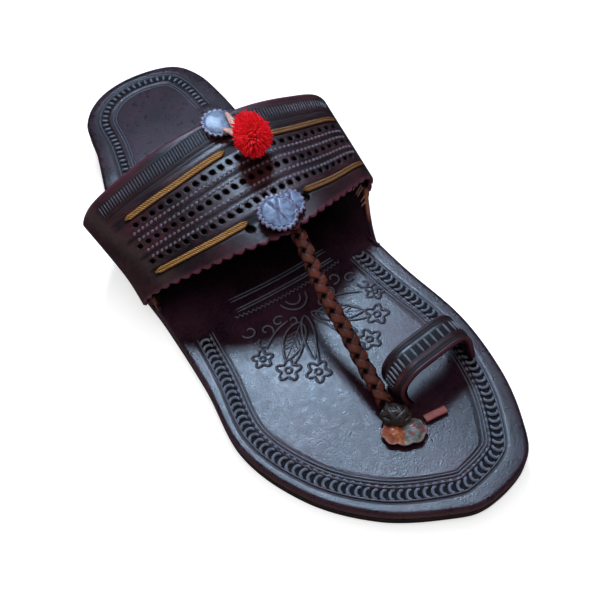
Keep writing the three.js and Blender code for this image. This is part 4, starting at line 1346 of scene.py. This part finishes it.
def loop_point(t, along, lift):
    """On the toe loop: t from the inner foot round to the outer one, along from rear to front edge.

    The arch runs through LOOP_ROWS, leans forward with its height and is lifted square to itself.
    """
    t, along, lift = np.broadcast_arrays(np.asarray(t, float), np.asarray(along, float), lift)

    def arch(a):
        y = LOOP_AT[1] + (a - 0.5) * LOOP_DEPTH
        floor = insole_top(y)
        tall = LOOP_HEIGHT - LOOP_THICKNESS / 2
        foot = -INSOLE_THICKNESS / tall
        rows = []
        for out, up in [(LOOP_ROWS[0][0], foot), *LOOP_ROWS, (LOOP_ROWS[-1][0], foot)]:
            rows.append(np.stack([LOOP_AT[0] + out * (LOOP_SPAN - LOOP_THICKNESS) / 2 + 0 * y,
                                  y + LOOP_LEAN * max(up, 0) + LOOP_SKEW * out / 2, floor + up * tall], -1))
        return np.stack(rows, -2)

    step = 2e-3
    here = arch(along)
    across = spline(here, t + step) - spline(here, t - step)
    forward = spline(arch(along + step), t) - spline(arch(along - step), t)
    return spline(here, t) + unit(np.cross(across, forward)) * lift[..., None]


class MakeToeLoop(bpy.types.Operator):
    """Toe loop with its ribbed border"""

    bl_idname = "sandal.toe_loop"
    bl_label = "Toe loop"

    def execute(self, context):
        t, a = np.meshgrid(np.linspace(0, 1, 160), np.linspace(0, 1, 41), indexing="ij")
        mm = np.minimum(a, 1 - a) * LOOP_DEPTH
        lift = LOOP_THICKNESS / 2 - 0.25 * groove(mm, 1.6, 0.35) - 0.2 * groove(mm, 2.6, 0.35)
        lift = lift - 0.6 * (1 - smooth(mm / 1.1)) ** 2 + 0.25 * smooth((mm - 3.0) / 3.0)
        points = loop_point(t, a, lift)
        wear = np.clip(1 - mm / 1.2, 0, 1) * 0.6
        # painted shade in the two edge grooves and in a dark field under the ribs on top
        pit = np.clip(groove(mm, 1.6, 0.4) + groove(mm, 2.6, 0.4), 0, 1)
        pit = np.maximum(pit, window(a, 0.31, 0.65, 0.05) * window(t, 0.26, 0.74, 0.02) * 0.85)
        piece = make_piece("toe_loop_leather", points, grid_quads(*t.shape)[:, ::-1], "strap",
                           "strap_leather", ("toe_loop",), sharp=60, wear=wear, pit=pit)
        thicken(piece, LOOP_THICKNESS)
        self.ribs()
        return {"FINISHED"}

    def ribs(self):
        """Short half-round ribs laid side by side over the loop's top, painted with a pale highlight."""
        parts = []
        profile = rounded_profile(0.95, 0.7, 2.2, 8)[None] * swell(8)[:, None, None]
        along = np.linspace(0.3, 0.66, 8)
        lift = LOOP_THICKNESS / 2 + 0.28
        for place in np.linspace(0.27, 0.73, 19):
            path = loop_point(place, along, lift)
            parts.append(tube(path, profile, loop_point(place + 0.01, along, lift) - path))
        points, faces = joined(parts)
        # the ribs' pale blue-grey is a painted highlight
        make_piece("toe_loop_ribs", points, faces, "strap", "strap_leather", ("toe_loop",), wear=0.0, rub=0.5)


class MakeThong(bpy.types.Operator):
    """Plaited thong, its knot, the cut leaf and the tab"""

    bl_idname = "sandal.thong"
    bl_label = "Plaited thong"

    def execute(self, context):
        self.plait()
        self.knot()
        self.leaf()
        self.tab()
        return {"FINISHED"}

    def plait(self):
        """Four flat strips round a core: two wind each way, at the radius STRIP_RADIUS plus or minus
        STRIP_SWING times cos(4 pi s / pitch), so each passes over and under the other two in turn."""
        count = 330
        shares = np.linspace(0, 1, count)
        controls = np.repeat(BRAID_PATH[None], count, 0)
        run = run_length(spline(controls, shares))
        spine = spline(controls, np.interp(np.linspace(0, run[-1], count), run, shares))
        run = np.linspace(0, run[-1], count)
        tangent = unit(np.gradient(spine, axis=0))
        side = unit(np.cross([0, 0, 1.0], tangent))
        up = np.cross(tangent, side)
        pitch = bpy.context.scene.sandal_trim.plait_pitch
        # painted shade at the strips' edges
        edge_shade = np.abs(rounded_profile(2, 2, 2.6, 12)[:, 0]) ** 3
        parts, shade = [], []
        for way in (-1, 1):
            for strand in (0, 1):
                turn = way * 2 * np.pi * run / pitch + np.pi * strand + 0.6
                radius = STRIP_RADIUS + way * STRIP_SWING * np.cos(4 * np.pi * run / pitch)
                out = side * np.cos(turn)[:, None] + up * np.sin(turn)[:, None]
                path = spine + out * radius[:, None]
                across = np.cross(out, unit(np.gradient(path, axis=0)))
                parts.append(tube(path, rounded_profile(*STRIP_SIZE, 2.6, 12), across))
                shade.append(np.tile(edge_shade, count))
        parts.append(tube(spine, rounded_profile(CORE_DIAMETER, CORE_DIAMETER, 2, 12), side))
        # the core is painted dark all over: painted shade between the strips
        shade.append(np.ones(len(parts[-1][0])))
        points, faces = joined(parts)
        make_piece("thong_plait", points, faces, "red", "red_leather", ("braid",), wear=0.12,
                   pit=np.concatenate(shade))

    def knot(self):
        """Knot: coils of the strips drawn round a squashed ball, turned with it."""
        x, y, turn = KNOT_AT
        a = np.linspace(0, 2 * np.pi, 73)[:-1]
        middle = np.array([x, y, insole_top(y) + CLEARANCE + KNOT_SIZE[2] / 2])
        shape = np.array(KNOT_SIZE) / 2
        spin = np.array(Matrix.Rotation(math.radians(turn), 3, "Z"))
        parts = []
        for way, tip, size, width in COILS:
            ring = np.stack([np.cos(a), np.sin(a), 0 * a], -1) * size
            turned = Matrix.Rotation(math.radians(way), 3, "Z") @ Matrix.Rotation(math.radians(tip), 3, "X")
            path = (ring @ np.array(turned).T) * shape
            out = unit(path) @ spin.T
            parts.append(tube(path @ spin.T + middle, rounded_profile(1.7, width, 2.4, 12), out, True))
        u, v = np.meshgrid(np.linspace(0, np.pi, 14), np.linspace(0, 2 * np.pi, 25)[:-1], indexing="ij")
        ball = np.stack([np.sin(u) * np.cos(v), np.sin(u) * np.sin(v), -np.cos(u)], -1) * shape * 0.82
        parts.append(((ball @ spin.T + middle).reshape(-1, 3), [grid_quads(14, 24, wrap_columns=True)]))
        points, faces = joined(parts)
        make_piece("thong_knot", points, faces, "knot", "red_leather", ("braid_knot",), merge=0.01, wear=0.0)

    def leaf(self):
        """Cut leaf: an oval with eight scallops on its rim, and a bell-shaped dome over each of its two
        lobes."""
        r, t = np.meshgrid(np.linspace(0, 1, 16), np.linspace(0, 2 * np.pi, 145)[:-1], indexing="ij")
        rim = (1 - 0.12 * (1 - np.abs(np.cos(4 * t)))) / 2
        lx, ly = LEAF_SIZE[0] * r * rim * np.cos(t), LEAF_SIZE[1] * r * rim * np.sin(t)
        turn = math.radians(LEAF_AT[2])
        x = LEAF_AT[0] + lx * math.cos(turn) - ly * math.sin(turn)
        y = LEAF_AT[1] + lx * math.sin(turn) + ly * math.cos(turn)
        dome = 1.5 * np.exp(-(((np.abs(lx) - 4.0) / 3.2) ** 2 + (ly / 4.2) ** 2)) * (1 - r ** 6)
        fold = 0.35 * np.abs(np.sin(5 * t)) * r ** 2
        z = insole_top(y) + CLEARANCE + 1.3 + dome - fold
        wear = np.clip((r - 0.82) / 0.15, 0, 1)
        lobe = smooth((1.0 - lx) / 2.0)
        piece = make_piece("toe_leaf_cut", np.stack([x, y, z], -1), grid_quads(16, 144, wrap_columns=True),
                           "leaf", "red_leather", ("toe_leaf",), merge=0.01, wear=wear, lobe=lobe)
        thicken(piece, 1.1)

    def tab(self):
        """Tab: a flat strip with round edges."""
        turn = math.radians(TAB_AT[2])
        half = TAB_SIZE[0] / 2
        s = np.linspace(-half, half, 24)
        bow = 0.5 * (1 - (s / half) ** 2)
        x = TAB_AT[0] + s * math.cos(turn)
        y = TAB_AT[1] + s * math.sin(turn)
        path = np.stack([x, y, insole_top(y) + CLEARANCE + 0.85 + bow * 0.4], -1)
        side = np.broadcast_to(np.array([-math.sin(turn), math.cos(turn), 0.0]), path.shape)
        points, faces = tube(path, rounded_profile(TAB_SIZE[1], 1.4, 4, 16), side)
        make_piece("toe_tab_strip", points, faces, "tab", "red_leather", ("toe_tab",), wear=0.35)


def rosette(name, node, place, base, crease, dome):
    """A pinked disc on the strap: the rim runs in and out by its teeth, and the middle swells by
    dome (1 - r^2). crease lists the directions of the folds pressed across it."""
    across, along, diameter = place
    teeth = round(math.pi * diameter / 2.3)
    r, t = np.meshgrid(np.linspace(0, 1, 26), np.linspace(0, 2 * np.pi, teeth * 8 + 1)[:-1], indexing="ij")
    tooth = np.abs(((t * teeth / (2 * np.pi)) % 1) * 2 - 1)
    reach = r * (diameter / 2 - 1.15 * tooth ** 1.3 * smooth((r - 0.6) / 0.4))
    x, y = reach * np.cos(t), reach * np.sin(t)
    fold = sum(groove(x * math.sin(c) - y * math.cos(c), 0, 0.5) for c in np.radians(crease))
    lift = base + 1.1 + dome * (1 - r ** 2) - 0.45 * fold * smooth((0.85 - r) / 0.3) * (r > 0.02)
    lift = lift - 0.25 * groove(r, 0.8, 0.05)
    points = strap_point(across + x, along + y / STRAP_DEPTH, lift)
    # reddish cut teeth, and painted shade along the creases
    wear = np.clip((r - 0.86) / 0.12, 0, 1) * 0.9 + 0.7 * np.clip(fold, 0, 1) * smooth((0.85 - r) / 0.3)
    piece = make_piece(name, points, grid_quads(*r.shape, wrap_columns=True), "rosette", "rosette_leather",
                       (node,), merge=0.01, sharp=60, wear=np.clip(wear, 0, 1))
    thicken(piece, 1.1)


class MakeRosettes(bpy.types.Operator):
    """Pinked rosettes and pale petals"""

    bl_idname = "sandal.rosettes"
    bl_label = "Rosettes and petals"

    def execute(self, context):
        rosette("rosette_front", "front_rosette", FRONT_ROSETTE, OVER_ROSETTE, (62, 100), 0.5)
        rosette("rosette_front_small", "front_rosette_small", SMALL_ROSETTE, OVER_STRAP, (62, 110), 0.3)
        rosette("rosette_rear", "rear_rosette", REAR_ROSETTE, OVER_STRAP, (), 0.5)
        for k, (angle, reach) in enumerate(PETALS):
            self.petal(f"petal_{k + 1}", math.radians(angle), reach)
        return {"FINISHED"}

    def petal(self, name, angle, reach):
        """A petal: half as wide as 1.6 sin(pi u)^0.8, with u from 0.12 to 0.92, and turned up at its tip."""
        u, v = np.meshgrid(np.linspace(0, 1, 24), np.linspace(-1, 1, 11), indexing="ij")
        width = 1.6 * np.sin(np.pi * mix(0.12, 0.92, u)) ** 0.8 * v
        out = mix(-3.0, reach, u)
        across = PETALS_AT[0] + out * math.sin(angle) + width * math.cos(angle)
        back = -out * math.cos(angle) + width * math.sin(angle)
        lift = OVER_ROSETTE + 0.9 + 1.4 * smooth((u - 0.4) / 0.6) - 0.6 * (1 - v ** 2)
        points = strap_point(across, PETALS_AT[1] + back / STRAP_DEPTH, lift)
        piece = make_piece(name, points, grid_quads(*u.shape), "petal", "petal_leather", ("rear_petals",),
                           wear=smooth((0.3 - u) / 0.3))
        thicken(piece, 0.9)


class MakePompom(bpy.types.Operator):
    """Wool pompom of many tapered locks"""

    bl_idname = "sandal.pompom"
    bl_label = "Pompom"

    def clumps(self, x_axis, y_axis, out):
        """Directions in which the wool stands out further, and by how many mm."""
        low = 0.3 * out - 0.8 * y_axis - 0.5 * x_axis
        high = 0.2 * out + 0.9 * y_axis + 0.1 * x_axis
        return (low, 3.0), (high, 3.4), (out, 0.8)

    def execute(self, context):
        """Locks spread over a ball by the golden angle, each bent as s^2 and tapered from its middle."""
        rng = np.random.default_rng(11)
        count = context.scene.sandal_trim.pompom_locks
        seat = strap_point(*POMPOM_AT, 0.0)
        out = unit(strap_point(*POMPOM_AT, 1.0) - seat)
        centre = seat + out * (OVER_ROSETTE + 0.47 * POMPOM_DIAMETER)
        x_axis = unit(np.cross(out, [0, 1.0, 0]))
        y_axis = np.cross(out, x_axis)
        k = np.arange(count)
        height = 1 - 1.62 * (k + 0.5) / count
        ring = np.sqrt(np.clip(1 - height ** 2, 0, 1))
        turn = k * math.pi * (3 - math.sqrt(5))
        way = (ring * np.cos(turn))[:, None] * x_axis + (ring * np.sin(turn))[:, None] * y_axis
        way = unit(way + height[:, None] * out + rng.normal(0, 0.1, (count, 3)))
        length = POMPOM_DIAMETER / 2 - 0.9
        for middle, more in self.clumps(x_axis, y_axis, out):
            length = length + more * np.clip((way @ unit(middle) - 0.45) / 0.55, 0, 1) ** 1.5
        length = length + rng.normal(0, 0.6, count)
        bend = unit(np.cross(way, rng.normal(0, 1, (count, 3))))
        self.locks(centre, way, length, bend)
        return {"FINISHED"}

    def locks(self, centre, way, length, bend):
        """All the locks as one mesh: five rings of five points on each."""
        s = np.linspace(0, 1, 5)
        radius = np.array([0.4, 0.6, 0.62, 0.5, 0.12])
        reach = 2.5 + (length[:, None] - 2.5) * s
        path = centre + way[:, None] * reach[..., None] + bend[:, None] * (1.3 * s ** 2)[None, :, None]
        other = np.cross(way, bend)
        a = np.linspace(0, 2 * np.pi, 6)[:-1][None, None, :, None]
        circle = bend[:, None, None] * np.cos(a) + other[:, None, None] * np.sin(a)
        points = path[:, :, None] + circle * radius[None, :, None, None]
        starts = 25 * np.arange(len(way))[:, None]
        quads = (grid_quads(5, 5, wrap_columns=True)[None] + starts[..., None]).reshape(-1, 4)
        caps = np.arange(20, 25)[None] + starts
        roots = np.arange(5)[None, ::-1] + starts
        # painted shade: the roots, deep inside the ball, painted darker
        dark = np.broadcast_to(np.clip(1 - s * 1.5, 0, 1)[None, :, None], points.shape[:3])
        faces = [quads[:, ::-1], caps[:, ::-1], roots[:, ::-1]]
        make_piece("pompom_wool", points, faces, "wool", "red_wool", ("pompom",), wear=dark)


# The photograph's camera in the sandal's own frame, worked out from its perspective.
CAMERA_AT = np.array([103.5, 213.9, 298.7])
LOOK = np.array([-0.4591, -0.5185, -0.7214])
LEVEL_RIGHT = np.array([-0.7487, 0.6629, 0.0])
ROLL = math.radians(-4.40)
FOCAL_PIXELS = 511.15
AIM = (-74 / FOCAL_PIXELS, 65 / FOCAL_PIXELS)  # the sandal's middle in that view, right and down

# The softboxes, in metres: place, aim, spread in degrees, size, tint, and whether they shine in the gloss.
COOL, WARM, PALE = (0.54, 0.75, 1.0), (1.0, 0.93, 0.9), (1.0, 0.98, 0.97)
SANDAL_MIDDLE = (0.0, 0.0, 0.02)
LAMPS = {
    "rear": ((-0.185, -0.37, 0.72), (0.02, 0.046, 0.01), 16, 0.24, COOL, True),
    "low": ((-0.185, -0.392, 0.72), SANDAL_MIDDLE, 180, 0.2, COOL, True),
    "top": ((0.1, 0.15, 1.2), SANDAL_MIDDLE, 180, 1.2, PALE, False),
    "side": ((0.9, -0.2, 0.4), SANDAL_MIDDLE, 180, 0.4, WARM, True),
}


class MakeStage(bpy.types.Operator):
    """Floor, soft light and camera"""

    bl_idname = "sandal.stage"
    bl_label = "Stage"

    def execute(self, context):
        self.camera(context)
        self.light(context)
        self.floor(context)
        return {"FINISHED"}

    def camera(self, context):
        """Keeps the photograph's place, and turns by the shortest way to the sandal."""
        level_up = np.cross(LEVEL_RIGHT, LOOK)
        right = math.cos(ROLL) * LEVEL_RIGHT - math.sin(ROLL) * level_up
        up = math.sin(ROLL) * LEVEL_RIGHT + math.cos(ROLL) * level_up
        turn = Matrix((right, up, -LOOK)).transposed()
        aim = Vector(LOOK + AIM[0] * right - AIM[1] * up).normalized()
        swing = Vector(LOOK).rotation_difference(aim).to_matrix()
        data = bpy.data.cameras.new("camera")
        data.lens = context.scene.sandal_stage.lens
        data.sensor_width = 36.0
        data.clip_start, data.clip_end = 0.01, 20
        camera = bpy.data.objects.new("camera", data)
        camera.matrix_world = Matrix.Translation(Vector((CAMERA_AT + SHIFT) * MM)) @ (swing @ turn).to_4x4()
        context.scene.collection.objects.link(camera)
        context.scene.camera = camera

    def light(self, context):
        """A faint cool room, and the softboxes of LAMPS."""
        scene = context.scene
        stage = scene.sandal_stage
        world = bpy.data.worlds.new("studio")
        world.use_nodes = True
        background = world.node_tree.nodes["Background"]
        background.inputs["Color"].default_value = (0.86, 0.91, 1.0, 1.0)
        background.inputs["Strength"].default_value = 0.035
        scene.world = world
        scene.view_settings.view_transform = "Standard"
        powers = {"rear": stage.key_power, "low": stage.fill_power, "top": stage.top_power,
                  "side": stage.side_power}
        for name, (place, aim, spread, size, tint, shines) in LAMPS.items():
            data = bpy.data.lights.new("softbox_" + name, "AREA")
            data.shape, data.size, data.energy, data.color = "SQUARE", size, powers[name], tint
            data.spread = math.radians(spread)
            lamp = bpy.data.objects.new("softbox_" + name, data)
            lamp.location = place
            lamp.rotation_euler = (Vector(aim) - Vector(place)).to_track_quat("-Z", "Y").to_euler()
            lamp.visible_glossy = shines
            scene.collection.objects.link(lamp)

    def floor(self, context):
        """A plain white floor that glows a little, and doesn't show in the gloss."""
        mesh = bpy.data.meshes.new("floor")
        mesh.from_pydata([(-4, -4, 0), (4, -4, 0), (4, 4, 0), (-4, 4, 0)], [], [(0, 1, 2, 3)])
        n = Nodes("floor")
        n.shader.inputs["Base Color"].default_value = (0.86, 0.86, 0.86, 1)
        n.shader.inputs["Roughness"].default_value = 0.9
        n.shader.inputs["Emission Color"].default_value = (1.0, 1.0, 1.0, 1)
        n.shader.inputs["Emission Strength"].default_value = 0.62
        mesh.materials.append(n.material)
        floor = bpy.data.objects.new("floor", mesh)
        context.scene.collection.objects.link(floor)
        floor.visible_glossy = False


class SandalPanel(bpy.types.Panel):
    """Settings and makers of the sandal"""

    bl_idname = "VIEW3D_PT_sandal"
    bl_label = "Sandal"
    bl_space_type = "VIEW_3D"
    bl_region_type = "UI"
    bl_category = "Sandal"

    def draw(self, context):
        for key, group in SETTINGS.items():
            box = self.layout.box()
            box.label(text=group.__doc__)
            for name in group.__annotations__:
                box.prop(getattr(context.scene, key), name)
        for maker in MAKERS:
            self.layout.operator(maker.bl_idname)


SETTINGS = {"sandal_sole": SandalSole, "sandal_strap": SandalStrap, "sandal_trim": SandalTrim,
            "sandal_stage": SandalStage}
MAKERS = (MakeStage, MakeInsole, MakeEars, MakeOutsole, MakeStrap, MakeBands, MakeToeLoop, MakeThong,
          MakeRosettes, MakePompom)


def register():
    for kind in (*SETTINGS.values(), *MAKERS, SandalPanel):
        bpy.utils.register_class(kind)
    for key, group in SETTINGS.items():
        setattr(bpy.types.Scene, key, bpy.props.PointerProperty(type=group))


def unregister():
    for key in SETTINGS:
        delattr(bpy.types.Scene, key)
    for kind in (SandalPanel, *reversed(MAKERS), *reversed(SETTINGS.values())):
        bpy.utils.unregister_class(kind)


def main():
    """Registers the classes and makes every piece."""
    register()
    for maker in MAKERS:
        family, name = maker.bl_idname.split(".")
        getattr(getattr(bpy.ops, family), name)()
    bpy.context.view_layer.update()


if __name__ == "__main__":
    main()
